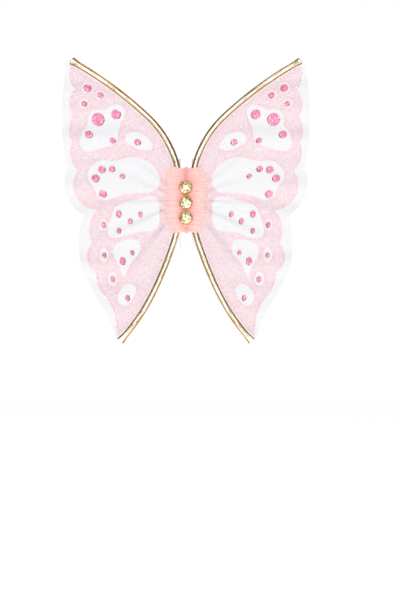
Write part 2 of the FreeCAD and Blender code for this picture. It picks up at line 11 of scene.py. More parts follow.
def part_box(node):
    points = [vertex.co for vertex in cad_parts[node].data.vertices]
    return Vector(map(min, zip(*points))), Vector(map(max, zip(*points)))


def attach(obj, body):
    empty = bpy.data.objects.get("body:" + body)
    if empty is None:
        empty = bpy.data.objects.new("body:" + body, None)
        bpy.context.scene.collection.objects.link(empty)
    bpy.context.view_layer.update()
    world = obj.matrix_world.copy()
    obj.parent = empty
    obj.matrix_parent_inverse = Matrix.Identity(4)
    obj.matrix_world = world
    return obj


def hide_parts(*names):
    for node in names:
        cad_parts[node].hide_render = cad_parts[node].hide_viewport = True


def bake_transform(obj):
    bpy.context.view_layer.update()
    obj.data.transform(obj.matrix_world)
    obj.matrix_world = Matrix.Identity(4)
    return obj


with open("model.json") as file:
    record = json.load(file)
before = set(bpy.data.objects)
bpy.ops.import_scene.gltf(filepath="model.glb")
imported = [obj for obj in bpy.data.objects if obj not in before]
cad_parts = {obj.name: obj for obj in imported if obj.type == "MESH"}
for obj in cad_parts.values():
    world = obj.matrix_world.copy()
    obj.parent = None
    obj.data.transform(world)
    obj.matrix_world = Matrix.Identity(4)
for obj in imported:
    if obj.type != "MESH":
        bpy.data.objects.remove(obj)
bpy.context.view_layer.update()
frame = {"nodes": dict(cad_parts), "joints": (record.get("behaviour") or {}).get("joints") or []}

# ---------------------------------------------------------------- studio
# A wide round floor of glowing white paper, level and plain, so that no shadow falls on it. The wings
# hang above it at the height at which a child wears them, in white air.

MM = 0.001
FLOOR_LEVEL = -0.78
FLOOR_RADIUS = 7.0
FLOOR_RINGS = 8
FLOOR_SPOKES = 72
WHITE = (1, 1, 1, 1)


def add_object(name, data):
    """An object of this data in the scene."""
    item = bpy.data.objects.new(name, data)
    bpy.context.scene.collection.objects.link(item)
    return item


def add_mesh(name, points, faces):
    """A smooth mesh object from an array of points and a list or array of faces."""
    mesh = bpy.data.meshes.new(name)
    mesh.from_pydata(np.asarray(points, float).reshape(-1, 3).tolist(), [],
                     faces.tolist() if isinstance(faces, np.ndarray) else faces)
    mesh.validate()
    mesh.polygons.foreach_set("use_smooth", [True] * len(mesh.polygons))
    return add_object(name, mesh)


def grid_faces(rows, columns, wrap=False, copies=1):
    """Quads between neighbouring rows and columns of a grid, for one grid or several like ones in turn."""
    i = np.arange(rows - 1)[:, None]
    j = np.arange(columns if wrap else columns - 1)[None, :]
    k = (j + 1) % columns
    quads = np.stack([i * columns + j, i * columns + k, (i + 1) * columns + k, (i + 1) * columns + j], -1)
    return (quads.reshape(-1, 4) + np.arange(copies)[:, None, None] * rows * columns).reshape(-1, 4)


def circle(count):
    """Angles at equal steps all the way round."""
    return np.linspace(0, 2 * math.pi, count, endpoint=False)


def feed(node, **sources):
    """Link a socket to, or set a plain value on, each input that a keyword names."""
    for key, value in sources.items():
        socket = node.inputs[key.replace("_", " ").title()]
        if isinstance(value, bpy.types.NodeSocket):
            node.id_data.links.new(value, socket)
        else:
            socket.default_value = value


def new_node(tree, kind, **sources):
    """A shader node of this kind with its inputs fed."""
    node = tree.nodes.new("ShaderNode" + kind)
    feed(node, **sources)
    return node


def math_node(operation, first, *others):
    """One arithmetic step on a socket and further sockets or plain numbers."""
    node = new_node(first.id_data, "Math")
    node.operation = operation
    for socket, value in zip(node.inputs, (first, *others)):
        if isinstance(value, (int, float)):
            socket.default_value = value
        else:
            node.id_data.links.new(value, socket)
    return node.outputs[0]


def new_material(name):
    """An empty node material and its Principled shader."""
    material = bpy.data.materials.new(name)
    material.use_nodes = True
    return material, material.node_tree.nodes["Principled BSDF"]


def paper_floor():
    """A flat disc: rings of points from its middle out to FLOOR_RADIUS."""
    ring = np.linspace(0, FLOOR_RADIUS, FLOOR_RINGS)[:, None]
    angle = circle(FLOOR_SPOKES)
    points = np.stack([ring * np.cos(angle), ring * np.sin(angle), FLOOR_LEVEL + 0 * ring * angle], -1)
    floor = add_mesh("paper_floor", points, grid_faces(FLOOR_RINGS, FLOOR_SPOKES, True))
    material, shader = new_material("white_paper")
    feed(shader, base_color=(0.93, 0.93, 0.93, 1), roughness=0.9, emission_color=WHITE, emission_strength=0.72)
    floor.data.materials.append(material)
    return floor


def soft_box(name, place, width, height, power):
    """A rectangular studio light at place, facing the wings' middle."""
    light = bpy.data.lights.new(name, "AREA")
    light.shape = "RECTANGLE"
    light.size, light.size_y, light.energy = width, height, power
    lamp = add_object(name, light)
    lamp.location = place
    lamp.rotation_euler = (-Vector(place)).to_track_quat("-Z", "Y").to_euler()


paper_floor()
soft_box("front_light", (0.0, -4.2, 0.7), 3.2, 3.2, 60)
soft_box("key_light", (-1.3, -2.2, 1.5), 1.6, 1.6, 10)
soft_box("fill_light", (1.6, -2.0, 0.3), 1.4, 1.6, 6)
soft_box("top_light", (0.0, -0.2, 2.2), 1.6, 1.0, 7)
soft_box("back_light", (0.6, 2.6, 1.6), 1.8, 1.8, 30)
world = bpy.data.worlds.new("studio_air")
world.use_nodes = True
# The air looks pure white to the camera, but lights the wings with only AIR_LIGHT of that.
AIR_LIGHT = 0.28
seen = new_node(world.node_tree, "LightPath").outputs["Is Camera Ray"]
feed(world.node_tree.nodes["Background"], color=WHITE,
     strength=math_node("MULTIPLY_ADD", seen, 1 - AIR_LIGHT, AIR_LIGHT))
bpy.context.scene.world = world
bpy.context.scene.view_settings.view_transform = "Standard"

# The camera stands level, a little below the wings' middle, with a long lens.
CAMERA_DISTANCE = 2.8
VIEW_CENTER_X = 0.024
VIEW_CENTER_Z = -0.169
VIEW_HEIGHT = 1.018
SENSOR = 36.0
camera_data = bpy.data.cameras.new("camera")
camera_data.sensor_fit = "VERTICAL"
camera_data.sensor_height = SENSOR
camera_data.lens = SENSOR * CAMERA_DISTANCE / VIEW_HEIGHT
camera = add_object("camera", camera_data)
wing_plane = frame["joints"][0]["pos_m"][1]
camera.location = (VIEW_CENTER_X, wing_plane - CAMERA_DISTANCE, VIEW_CENTER_Z)
camera.rotation_euler = (math.pi / 2, 0, 0)
bpy.context.scene.camera = camera

# ---------------------------------------------------------------- frame wires and wadding
# One length of drawn steel wire per wing, bent by hand, turns in the felt sleeve at the centre and
# runs out inside both gold casings, where soft wadding rounds it off.

SIDES = {"left": -1, "right": 1}
HINGE_X = abs(frame["joints"][0]["pos_m"][0])


def finish_nodes(names, material):
    """Give CAD nodes that keep their own shape a finished material."""
    for name in names:
        node = frame["nodes"][name]
        node.data.materials.clear()
        node.data.materials.append(material)


def add_bump(shader, height, strength, distance):
    """Let a height raise the surface."""
    bump = new_node(shader.id_data, "Bump", strength=strength, distance=distance, height=height)
    feed(shader, normal=bump.outputs["Normal"])


def noise_node(vector, scale, detail=3.0, roughness=0.55):
    """Noise read at a vector, scale in cells per metre."""
    return new_node(vector.id_data, "TexNoise", vector=vector, scale=scale, detail=detail,
                    roughness=roughness).outputs["Fac"]


def coordinates(shader, kind):
    """Object coordinates in metres, or the piece's own UV map, in metres along and across the cloth."""
    return new_node(shader.id_data, "TexCoord").outputs[kind]


def map_range(value, low, high, out_low=0, out_high=1):
    """Value moved from one range to another, held at its ends."""
    return new_node(value.id_data, "MapRange", value=value, from_min=low, from_max=high, to_min=out_low,
                    to_max=out_high).outputs["Result"]


def mix_colors(factor, first, second):
    """Blend of two colours. A colour is a socket or a plain triple."""
    node = new_node(factor.id_data, "Mix")
    node.data_type = "RGBA"
    colors = [item for item in node.inputs if item.type == "RGBA"]
    for socket, value in ((node.inputs["Factor"], factor), (colors[0], first), (colors[1], second)):
        if isinstance(value, tuple):
            socket.default_value = (*value, 1)
        else:
            node.id_data.links.new(value, socket)
    return [item for item in node.outputs if item.type == "RGBA"][0]


def steel_wire_material():
    """Grey drawn steel with faint streaks and a few dull spots."""
    material, shader = new_material("drawn_steel")
    where = coordinates(shader, "Object")
    streak = noise_node(where, 900, 2)
    spots = noise_node(where, 140, 4)
    tint = mix_colors(map_range(spots, 0.4, 0.7), (0.50, 0.50, 0.51), (0.33, 0.32, 0.31))
    feed(shader, base_color=tint, roughness=map_range(streak, 0.2, 0.8, 0.26, 0.45), metallic=1.0)
    add_bump(shader, streak, 0.25, 0.00004)
    return material


def wadding_material():
    """Loose white fibre, with painted shade: a darker, slightly yellow grey down in its hollows."""
    material, shader = new_material("white_wadding")
    fibre = noise_node(coordinates(shader, "Object"), 1400, 6, 0.7)
    # The colour is darker where the fibre height is low: painted shade in the hollows.
    tint = mix_colors(fibre, (0.72, 0.70, 0.64), (0.90, 0.89, 0.86))
    feed(shader, base_color=tint, roughness=0.95)
    add_bump(shader, fibre, 0.6, 0.0004)
    return material


finish_nodes([side + "_frame_wire" for side in SIDES], steel_wire_material())
finish_nodes([side + part for side in SIDES for part in ("_upper_filler", "_lower_filler")],
             wadding_material())

# ---------------------------------------------------------------- organza panels
# Each wing is one piece of sheer organza, sewn to its two casings and gathered at the centre. Its
# pleats run out from the gathers and fade, and its free edge hangs in soft waves.

# Where the middle line of each wire runs, as (x, z) on the right wing: the last two points of every
# arm, after it leaves the upright stretch with the radius WIRE_BEND.
WIRE_BEND = 155 * MM
RIM_WIDTH = 9 * MM
ROW_SHARE = 0.866  # height of an equal-sided triangle as a share of its side
BATCHES = 12
ARMS = {
    "upper": {"spine": 20 * MM, "way": 1, "start": 60 * MM, "points": [(64, 141), (185, 231.2)]},
    "lower": {"spine": 15 * MM, "way": -1, "start": 60 * MM, "points": [(54.4, -155), (104.5, -231.3)]},
}


def tangent_arcs(start, heading, points, steps):
    """Points along circular arcs that each leave where, and in the direction in which, the last ended.

    An arc that turns by twice the angle a between its heading and its chord c passes through
    start + |c| sin(t a) / sin(a) in the direction of the heading turned by t a, for t from 0 to 1.
    """
    line = [np.array([start])]
    for end, count in zip(points, steps):
        chord = np.array(end, float) - start
        length = np.hypot(*chord)
        lean = math.atan2(heading[0] * chord[1] - heading[1] * chord[0], heading @ chord)
        lean = lean if abs(lean) > 1e-6 else 1e-6
        share = np.linspace(0, 1, count + 1)[1:]
        angle = math.atan2(heading[1], heading[0]) + lean * share
        reach = length * np.sin(lean * share) / math.sin(lean)
        line.append(start + reach[:, None] * np.stack([np.cos(angle), np.sin(angle)], -1))
        angle = math.atan2(heading[1], heading[0]) + 2 * lean
        heading = np.array([math.cos(angle), math.sin(angle)])
        start = np.array(end, float)
    return np.concatenate(line), heading


def arm_line(arm, from_height, end_run=0.0):
    """Middle line (x, z) of one wire arm from a height above or below the centre out to its end."""
    facts = ARMS[arm]
    rise = facts["start"] - facts["spine"]
    root = (HINGE_X + WIRE_BEND - math.sqrt(WIRE_BEND ** 2 - rise ** 2), facts["way"] * facts["start"])
    points = [root] + [(x * MM, z * MM) for x, z in facts["points"]]
    begin = np.array([HINGE_X, facts["way"] * facts["spine"]])
    line, heading = tangent_arcs(begin, np.array([0.0, facts["way"]]), points, (40, 90, 110))
    line = line[facts["way"] * line[:, 1] > from_height]
    if end_run:
        run = np.linspace(0, end_run, 13)[1:, None]
        line = np.concatenate([line, line[-1] + run * heading])
    return line


SEWN_LINE = np.concatenate([arm_line("lower", 0.0)[::-1], arm_line("upper", 0.0)])


def smoothstep(value):
    """0 below 0, 1 above 1, and a smooth rise between."""
    value = np.clip(value, 0, 1)
    return value * value * (3 - 2 * value)


def gap_to(line, x, z):
    """Distance from every place (x, z) to the nearest point of a line, worked out in batches."""
    spots = np.stack([x, z], -1).reshape(-1, 1, 2)
    nearest = [((part - line) ** 2).sum(-1).min(1) for part in np.array_split(spots, BATCHES)]
    return np.sqrt(np.concatenate(nearest)).reshape(np.shape(x))


def wave(length, pitch, start=0.0):
    """A sine of a length that repeats every pitch."""
    return np.sin(length * 2 * math.pi / pitch + start)


def cloth_depth(x, z):
    """How far the cloth stands off the wing plane, towards the wearer, at (x, z) on either wing.

    Pleats are sines of the angle round the centre that fade with distance. Waves along the free
    edge are sines of the height. Both fade to nothing where the cloth is sewn to a casing.
    """
    x = np.abs(x)
    away = np.hypot(x, z)
    around = np.arctan2(z, x)
    held = smoothstep((gap_to(SEWN_LINE[::4], x, z) - 4 * MM) / (26 * MM))
    low_side = smoothstep(-z / (40 * MM))
    fine = np.sin(around * 27 + 1.9 * np.sin(around * 3 + 0.6)) * np.exp(-(away - 35 * MM) / (62 * MM))
    broad = np.sin(around * 13 + 2.2 * np.sin(around * 2) + 0.8) * np.exp(-(away - 50 * MM) / (120 * MM))
    free = smoothstep((away - 90 * MM) / (110 * MM))
    sway = wave(z, 71 * MM, 9 * x + 0.7) + 0.5 * wave(z, 43 * MM, 2)
    depth = (1.6 + 1.2 * low_side) * fine + (1.4 + 1.8 * low_side) * broad + 2.4 * free * sway
    middle = smoothstep((np.maximum(x / (30 * MM), np.abs(z) / (62 * MM)) - 0.85) / 0.6)
    return held * depth * (0.2 + 0.8 * middle) * MM


def read(items, key, width=1, kind=float):
    """A value of every item of a mesh, as rows of the given width."""
    values = np.empty(len(items) * width, kind)
    items.foreach_get(key, values)
    return values.reshape(-1, width)


def flat_outline(node, step):
    """Outline of a flat CAD sheet: the edges that only one triangle of its front face uses.

    Returns points (x, z) and edges, with every edge cut into runs no longer than step.
    """
    mesh = frame["nodes"][node].data
    mesh.calc_loop_triangles()
    spots, index = np.unique(np.round(read(mesh.vertices, "co", 3), 6), axis=0, return_inverse=True)
    corners = index.reshape(-1)[read(mesh.loop_triangles, "vertices", 3, int)]
    corners = corners[np.all(spots[corners][:, :, 1] < spots[:, 1].min() + 2e-6, axis=1)]
    sides = np.concatenate([corners[:, [0, 1]], corners[:, [1, 2]], corners[:, [2, 0]]])
    sides, uses = np.unique(np.sort(sides, axis=1), axis=0, return_counts=True)
    sides = sides[uses == 1]
    first = spots[sides[:, 0]][:, [0, 2]]
    along = spots[sides[:, 1]][:, [0, 2]] - first
    runs = np.maximum(1, np.ceil(np.hypot(*along.T) / step)).astype(int)
    owner = np.repeat(np.arange(len(runs)), runs)
    order = np.arange(runs.sum()) - np.repeat(np.cumsum(runs) - runs, runs)
    share = (np.stack([order, order + 1], -1) / runs[owner][:, None])[..., None]
    pieces = first[owner][:, None] + along[owner][:, None] * share
    points, index = np.unique(np.round(pieces.reshape(-1, 2), 6), axis=0, return_inverse=True)
    return points, index.reshape(-1, 2)


def inside(spots, points, edges):
    """Which spots lie within an outline: a line to the right of them crosses it an odd number of times."""
    first, second = points[edges[:, 0]], points[edges[:, 1]]
    answer = []
    for part in np.array_split(spots, max(1, len(spots) // 2000)):
        x, z = part[:, 0:1], part[:, 1:2]
        spans = (first[:, 1] > z) != (second[:, 1] > z)
        slope = (second[:, 0] - first[:, 0]) / np.where(spans, second[:, 1] - first[:, 1], 1)
        crossing = first[:, 0] + (z - first[:, 1]) * slope
        answer.append((spans & (crossing > x)).sum(1) % 2 == 1)
    return np.concatenate(answer)


def cut_cloth(node, step):
    """Flat cloth in the outline of a CAD sheet: points (x, z) and triangles on a close lattice."""
    points, edges = flat_outline(node, step)
    low, high = points.min(0), points.max(0)
    columns = np.arange(low[0], high[0], step)
    rows = np.arange(low[1], high[1], step * ROW_SHARE)
    x = columns[None, :] + (np.arange(len(rows)) % 2)[:, None] * step / 2
    lattice = np.stack([x, np.broadcast_to(rows[:, None], x.shape)], -1).reshape(-1, 2)
    lattice = lattice[inside(lattice, points, edges)]
    lattice = lattice[gap_to(points, *lattice.T) > 0.55 * step]
    everything = [Vector(spot) for spot in np.concatenate([points, lattice]).tolist()]
    result = delaunay_2d_cdt(everything, edges.tolist(), [], 0, 1e-9)
    spots, corners = np.array(result[0]), np.array(result[2])
    return spots, corners[inside(spots[corners].mean(1), points, edges)]


def upright(flat, depth):
    """Places (x, z) stood up at a depth y."""
    return np.stack(np.broadcast_arrays(flat[..., 0], depth, flat[..., 1]), -1)


def set_uv(piece, places):
    """A UV map from one place per mesh point."""
    layer = piece.data.uv_layers.new(name="cloth_metres")
    corner_points = read(piece.data.loops, "vertex_index", 1, int)[:, 0]
    layer.data.foreach_set("uv", np.asarray(places, float).reshape(-1, 2)[corner_points].reshape(-1))


def face_viewer(piece):
    """Turn an open piece's faces towards -Y on the whole."""
    if (read(piece.data.polygons, "normal", 3)[:, 1:2] * read(piece.data.polygons, "area")).sum() > 0:
        piece.data.flip_normals()


def lay_cloth(name, node, step, lift):
    """The cloth of a CAD sheet, rippled, lifted towards the viewer.

    Its UVs are metres (x, z), and its attribute "rim" is 1 on the outline and 0 from RIM_WIDTH inside it.
    """
    spots, corners = cut_cloth(node, step)
    piece = add_mesh(name, upright(spots, wing_plane - lift + cloth_depth(*spots.T)), corners)
    set_uv(piece, spots)
    rim = piece.data.attributes.new("rim", "FLOAT", "POINT")
    rim.data.foreach_set("value", 1 - smoothstep(gap_to(flat_outline(node, step)[0], *spots.T) / RIM_WIDTH))
    face_viewer(piece)
    return piece


def rim_value(tree):
    """1 at the cloth's cut edge, falling to 0 at RIM_WIDTH inside it."""
    node = new_node(tree, "Attribute")
    node.attribute_name = "rim"
    return node.outputs["Fac"]


def new_group(name, inputs, outputs):
    """An empty node group with these sockets, the sockets that come in, and its output node."""
    group = bpy.data.node_groups.new(name, "ShaderNodeTree")
    for title in inputs + outputs:
        group.interface.new_socket(title, in_out="INPUT" if title in inputs else "OUTPUT",
                                   socket_type="NodeSocket" + ("Vector" if title == "Vector" else "Float"))
    return group, group.nodes.new("NodeGroupInput").outputs, group.nodes.new("NodeGroupOutput")


def group_node(vector, group, **sources):
    """An effect group, placed in a material with its own values."""
    node = new_node(vector.id_data, "Group")
    node.node_tree = group
    feed(node, vector=vector, **sources)
    return node


def thread_weave_group():
    """Plain weave: two crossed sets of threads on a UV map in metres.

    A thread's height is the absolute sine across it. Threads is half a turn per pitch. Height and
    Cover, which is 1 on a thread and 0 in the hole between four threads, come out.
    """
    group, given, leave = new_group("thread_weave", ["Vector", "Threads"], ["Height", "Cover"])
    split = new_node(group, "SeparateXYZ", vector=given["Vector"])
    turns = [math_node("MULTIPLY", split.outputs[axis], given["Threads"]) for axis in "XY"]
    ridges = [math_node("ABSOLUTE", math_node("SINE", turn)) for turn in turns]
    height = math_node("MAXIMUM", *ridges)
    feed(leave, height=height, cover=map_range(height, 0.35, 0.75))
    return group


THREAD_WEAVE = thread_weave_group()


def weave_node(vector, pitch):
    """The plain weave with one thread every pitch metres."""
    return group_node(vector, THREAD_WEAVE, threads=math.pi / pitch)


def organza_material():
    """Sheer cool-white organza: thin bright threads, a little denser here and there, silky sheen."""
    material, shader = new_material("sheer_organza")
    where = coordinates(shader, "UV")
    weave = weave_node(where, 0.55 * MM)
    cloud = noise_node(where, 30, 3)
    cover = math_node("MULTIPLY_ADD", weave.outputs["Cover"], 0.26, 0.24)
    tint = mix_colors(cloud, (0.66, 0.66, 0.70), (0.78, 0.77, 0.80))
    feed(shader, base_color=tint, alpha=math_node("MULTIPLY", cover, map_range(cloud, 0.3, 0.7, 0.85, 1.15)),
         roughness=0.38, sheen_weight=0.4)
    add_bump(shader, weave.outputs["Height"], 0.35, 0.00008)
    return material


PANEL_STEP = 2.6 * MM
organza = organza_material()
for side in SIDES:
    panel = lay_cloth(side + "_organza_panel", side + "_wing_panel", PANEL_STEP, 0.0)
    panel.data.materials.append(organza)
    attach(panel, side + "_wing")
    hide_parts(side + "_wing_panel")

# ---------------------------------------------------------------- pink glitter layer
# A second layer on each panel, scalloped like lace and cut out in windows: pale pink net thickly
# dusted with fine glitter. It follows every ripple of the organza under it.

GLITTER_LIFT = 0.4 * MM
GLITTER_STEP = 2.4 * MM


def glitter_grain_group():
    """Flakes of glitter: one random shade per cell, with a mask for the few painted as glints."""
    group, given, leave = new_group("glitter_grain", ["Vector", "Grains Per Metre"],
                                    ["Shade", "Flash", "Height"])
    cells = new_node(group, "TexVoronoi", vector=given["Vector"], scale=given["Grains Per Metre"])
    split = new_node(group, "SeparateColor", color=cells.outputs["Color"])
    # The glint mask marks the cells whose colour is a painted glint.
    feed(leave, shade=split.outputs["Red"], flash=map_range(split.outputs["Green"], 0.86, 0.90),
         height=split.outputs["Blue"])
    return group


GLITTER_GRAIN = glitter_grain_group()


def grain_node(vector, size):
    """Glitter flakes of about the given size in metres."""
    return group_node(vector, GLITTER_GRAIN, grains_per_metre=1 / size)


def pink_net_material():
    """Pale pink net under glitter: flakes from blush to pale pink, and a few painted glints near white, thinner
    and thicker in patches.
    """
    material, shader = new_material("pink_glitter_net")
    where = coordinates(shader, "UV")
    grain = grain_node(where, 0.8 * MM)
    patch = noise_node(where, 75, 4, 0.6)
    flakes = mix_colors(grain.outputs["Shade"], (0.79, 0.40, 0.47), (0.87, 0.72, 0.76))
    clump = grain_node(where, 2.6 * MM)
    flakes = mix_colors(map_range(clump.outputs["Shade"], 0, 1, 0, 0.4), flakes, (0.88, 0.80, 0.83))
    tint = mix_colors(map_range(patch, 0.35, 0.68, 0, 0.8), flakes, (0.84, 0.61, 0.66))
    rim = rim_value(shader.id_data)
    tint = mix_colors(map_range(rim, 0, 1, 0, 0.45), tint, (0.85, 0.48, 0.55))
    # The few flakes under the glint mask are painted near white: painted glints.
    tint = mix_colors(grain.outputs["Flash"], tint, (1.0, 0.96, 0.97))
    alpha = math_node("ADD", map_range(grain.outputs["Shade"], 0, 1, 0.55, 0.83),
                      map_range(patch, 0.3, 0.7, -0.14, 0.12))
    alpha = math_node("MULTIPLY_ADD", rim, 0.10, alpha)
    feed(shader, base_color=tint, alpha=alpha, roughness=map_range(grain.outputs["Flash"], 0, 1, 0.55, 0.18))
    add_bump(shader, grain.outputs["Height"], 0.5, 0.00012)
    return material


pink_net = pink_net_material()
for side in SIDES:
    layer = lay_cloth(side + "_glitter_net", side + "_glitter_layer", GLITTER_STEP, GLITTER_LIFT)
    layer.data.materials.append(pink_net)
    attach(layer, side + "_wing")
    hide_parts(side + "_glitter_layer")

# ---------------------------------------------------------------- glitter dots
# Round spots of glitter paste: a pink one printed over a gold one, a little out of line, so that a
# gold crescent shows on the side towards the centre. Below the middle the cloth is gathered
# sideways, which leaves the spots taller than they are wide.

DOT_RINGS = np.array([0.0, 0.35, 0.62, 0.82, 0.93, 0.985, 1.0])
DOT_SEGMENTS = 30
DOT_HEIGHT = 0.75 * MM
DOT_EDGE = 0.12 * MM
DOT_LIFT = 1.05 * MM
BACK_HEIGHT = 0.3 * MM
BACK_LIFT = 0.5 * MM
MERGE_GAP = 0.001 * MM


def dot_circles(node):
    """Centres (x, z) and radii of the discs in a CAD node: its front outline split into loops.

    Each point starts with a label of its own, and neighbours take the lower of their two labels
    until nothing changes.
    """
    points, edges = flat_outline(node, 1.0)
    label = np.arange(len(points))
    for _ in range(len(points)):
        before = label.copy()
        np.minimum.at(label, edges[:, 0], label[edges[:, 1]])
        np.minimum.at(label, edges[:, 1], label[edges[:, 0]])
        if (label == before).all():
            break
    loops = [points[label == number] for number in np.unique(label)]
    low = np.array([loop.min(0) for loop in loops])
    high = np.array([loop.max(0) for loop in loops])
    return (low + high) / 2, (high - low).mean(1) / 2


def paste_spots(name, node, base, height, seed):
    """Low domes on the rippled cloth: base lift plus height (1 - r^6), with a slightly uneven rim."""
    centers, radii = dot_circles(node)
    angle, ring = circle(DOT_SEGMENTS), DOT_RINGS[:, None]
    sway = np.random.default_rng(seed).uniform(0, 2 * math.pi, (len(radii), 3))[:, :, None, None]
    rim = 1 + 0.022 * np.sin(3 * angle + sway[:, 0]) + 0.016 * np.sin(5 * angle + sway[:, 1])
    rim = rim + 0.012 * np.sin(9 * angle + sway[:, 2])
    middle_x, middle_z = centers.T[:, :, None, None]
    drawn = smoothstep(-middle_z / (20 * MM))
    radius = radii[:, None, None] * ring * rim
    x = middle_x + radius * (1 - 0.17 * drawn) * np.cos(angle)
    z = middle_z + radius * (1 + 0.22 * drawn) * np.sin(angle)
    dome = base + DOT_EDGE * (ring < 1) + height * (1 - ring ** 6)
    points = np.stack([x, wing_plane + cloth_depth(x, z) - dome, z], -1)
    piece = add_mesh(name, points, grid_faces(len(DOT_RINGS), DOT_SEGMENTS, True, len(radii)))
    merge_points(piece)
    face_viewer(piece)
    set_uv(piece, read(piece.data.vertices, "co", 3)[:, [0, 2]])
    return piece


def merge_points(piece):
    """Join points that lie on each other."""
    work = bmesh.new()
    work.from_mesh(piece.data)
    bmesh.ops.remove_doubles(work, verts=work.verts, dist=MERGE_GAP)
    work.to_mesh(piece.data)
    work.free()


def glitter_paste_material(name, dark, light, flash, metal):
    """Coarse bright glitter in clear paste: every flake has its own shade and tilt, and a few carry a painted
    glint.
    """
    material, shader = new_material(name)
    where = coordinates(shader, "UV")
    grain = grain_node(where, 0.6 * MM)
    coarse = grain_node(where, 1.9 * MM)
    shade = math_node("MULTIPLY_ADD", coarse.outputs["Shade"], 0.6,
                      math_node("MULTIPLY", grain.outputs["Shade"], 0.4))
    tint = mix_colors(map_range(shade, 0.2, 0.8), dark, light)
    # Flakes under the glint mask take the pale glint colour: painted glints.
    tint = mix_colors(coarse.outputs["Flash"], tint, flash)
    tint = mix_colors(grain.outputs["Flash"], tint, flash)
    feed(shader, base_color=tint, roughness=map_range(grain.outputs["Shade"], 0, 1, 0.22, 0.5),
         metallic=metal)
    add_bump(shader, grain.outputs["Height"], 0.7, 0.00018)
    return material


pink_paste = glitter_paste_material("pink_glitter_paste", (0.70, 0.07, 0.26), (0.92, 0.27, 0.49),
                                    (1.0, 0.64, 0.78), 0.0)
gold_paste = glitter_paste_material("gold_glitter_paste", (0.08, 0.035, 0.006), (0.44, 0.23, 0.03),
                                    (0.68, 0.48, 0.20), 0.2)
for number, side in enumerate(SIDES):
    spots = paste_spots(side + "_pink_spots", side + "_glitter_dots", DOT_LIFT, DOT_HEIGHT, 11 + number)
    spots.data.materials.append(pink_paste)
    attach(spots, side + "_wing")
    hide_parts(side + "_glitter_dots")
    backs = paste_spots(side + "_gold_spots", side + "_dot_backs", BACK_LIFT, BACK_HEIGHT, 21 + number)
    backs.data.materials.append(gold_paste)
    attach(backs, side + "_wing")
    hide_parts(side + "_dot_backs")

# ---------------------------------------------------------------- gold casings
# Strips of gold lame wrapped round wire and wadding and stitched along the wing. The metal cloth
# creases lengthwise, puckers where it bends, and is pressed flat and turned under at its tips.

CASING_RADIUS = 4.9 * MM
CASING_AROUND = 40
CASING_HIDDEN_START = 50 * MM
TIP_RUN = 12 * MM
TIP_HALF_WIDTH = 6.5 * MM
TIP_HALF_DEPTH = 1.7 * MM
HEM_PLACE = 1.6 * MM
HEM_WIDTH = 1.3 * MM


def run_along(line):
    """Length along a line from its start to each of its points."""
    return np.concatenate([[0], np.cumsum(np.hypot(*np.diff(line, axis=0).T))])


def right_of(headings):
    """Directions (n, 2) brought to length one and turned a quarter turn clockwise."""
    ahead = headings / np.hypot(*headings.T)[:, None]
    return np.stack([ahead[:, 1], -ahead[:, 0]], -1)


def casing_surface(arm, seed):
    """Tube round a wire arm: an ellipse in each section, flattened over the last TIP_RUN.

    Its radius is multiplied by 1 plus creases, which are sines of the angle that drift slowly with
    length, and puckers, which are short sines of length. The tip ends in a thin turned hem.
    """
    line = arm_line(arm, CASING_HIDDEN_START, TIP_RUN)
    across = right_of(np.gradient(line, axis=0)) * ARMS[arm]["way"]
    run = run_along(line)
    to_tip = run[-1] - run
    flat = smoothstep(1 - to_tip / (TIP_RUN * 1.35))
    hem = np.exp(-((to_tip - HEM_PLACE) / HEM_WIDTH) ** 2)
    wide = CASING_RADIUS + (TIP_HALF_WIDTH - CASING_RADIUS) * flat
    deep = CASING_RADIUS + (TIP_HALF_DEPTH - CASING_RADIUS) * flat + 0.5 * MM * hem
    closing = smoothstep(to_tip / (0.5 * MM))
    random = np.random.default_rng(seed)
    angle = circle(CASING_AROUND)
    length = run[:, None]
    near_end = np.maximum(np.exp(-to_tip / (30 * MM)), np.exp(-run / (28 * MM)))[:, None]
    crease = np.zeros((len(line), CASING_AROUND))
    for _ in range(7):
        turns = random.integers(2, 7)
        drift = random.uniform(-22, 22)
        start = random.uniform(0, 2 * math.pi)
        size = random.uniform(0.004, 0.012)
        crease += size * np.sin(turns * angle + drift * length + start)
    for _ in range(5):
        pitch = random.uniform(5, 13) * MM
        start = random.uniform(0, 2 * math.pi)
        lean = random.uniform(-2, 2)
        crease += 0.006 * wave(length, pitch, lean * angle + start) * np.sin(angle + start)
    deep_folds = 0.045 * np.sin(6 * angle + 60 * length + random.uniform(0, 6))
    radius = 1 + crease * (1 + 1.2 * near_end) + deep_folds * near_end
    sideways = wide[:, None] * radius * np.cos(angle) * closing[:, None]
    forward = deep[:, None] * radius * np.sin(angle) * (0.08 + 0.92 * closing[:, None])
    flat = line[:, None] + across[:, None] * sideways[..., None]
    return upright(flat, wing_plane + forward), run


def gold_casing(side, arm, seed):
    """The casing as a closed piece with UVs in metres along and around it."""
    points, run = casing_surface(arm, seed)
    points[..., 0] *= SIDES[side]
    points = np.concatenate([points, points[:, :1]], 1)
    piece = add_mesh("%s_%s_gold_casing" % (side, arm), points, grid_faces(len(run), CASING_AROUND + 1))
    girth = np.linspace(0, 2 * math.pi * CASING_RADIUS, CASING_AROUND + 1)
    set_uv(piece, np.stack(np.meshgrid(run, girth, indexing="ij"), -1))
    merge_points(piece)
    close_holes(piece)
    return piece


def close_holes(piece):
    """Cap open ends and point every face outwards."""
    work = bmesh.new()
    work.from_mesh(piece.data)
    rims = [edge for edge in work.edges if edge.is_boundary]
    if rims:
        bmesh.ops.holes_fill(work, edges=rims, sides=0)
    bmesh.ops.recalc_face_normals(work, faces=work.faces)
    work.to_mesh(piece.data)
    work.free()
    piece.data.polygons.foreach_set("use_smooth", [True] * len(piece.data.polygons))


def stretched_noise(vector, scale, detail):
    """Noise with scale, in cells per metre, of its own along each axis."""
    stretch = new_node(vector.id_data, "Mapping", vector=vector, scale=scale)
    return noise_node(stretch.outputs["Vector"], 1.0, detail)


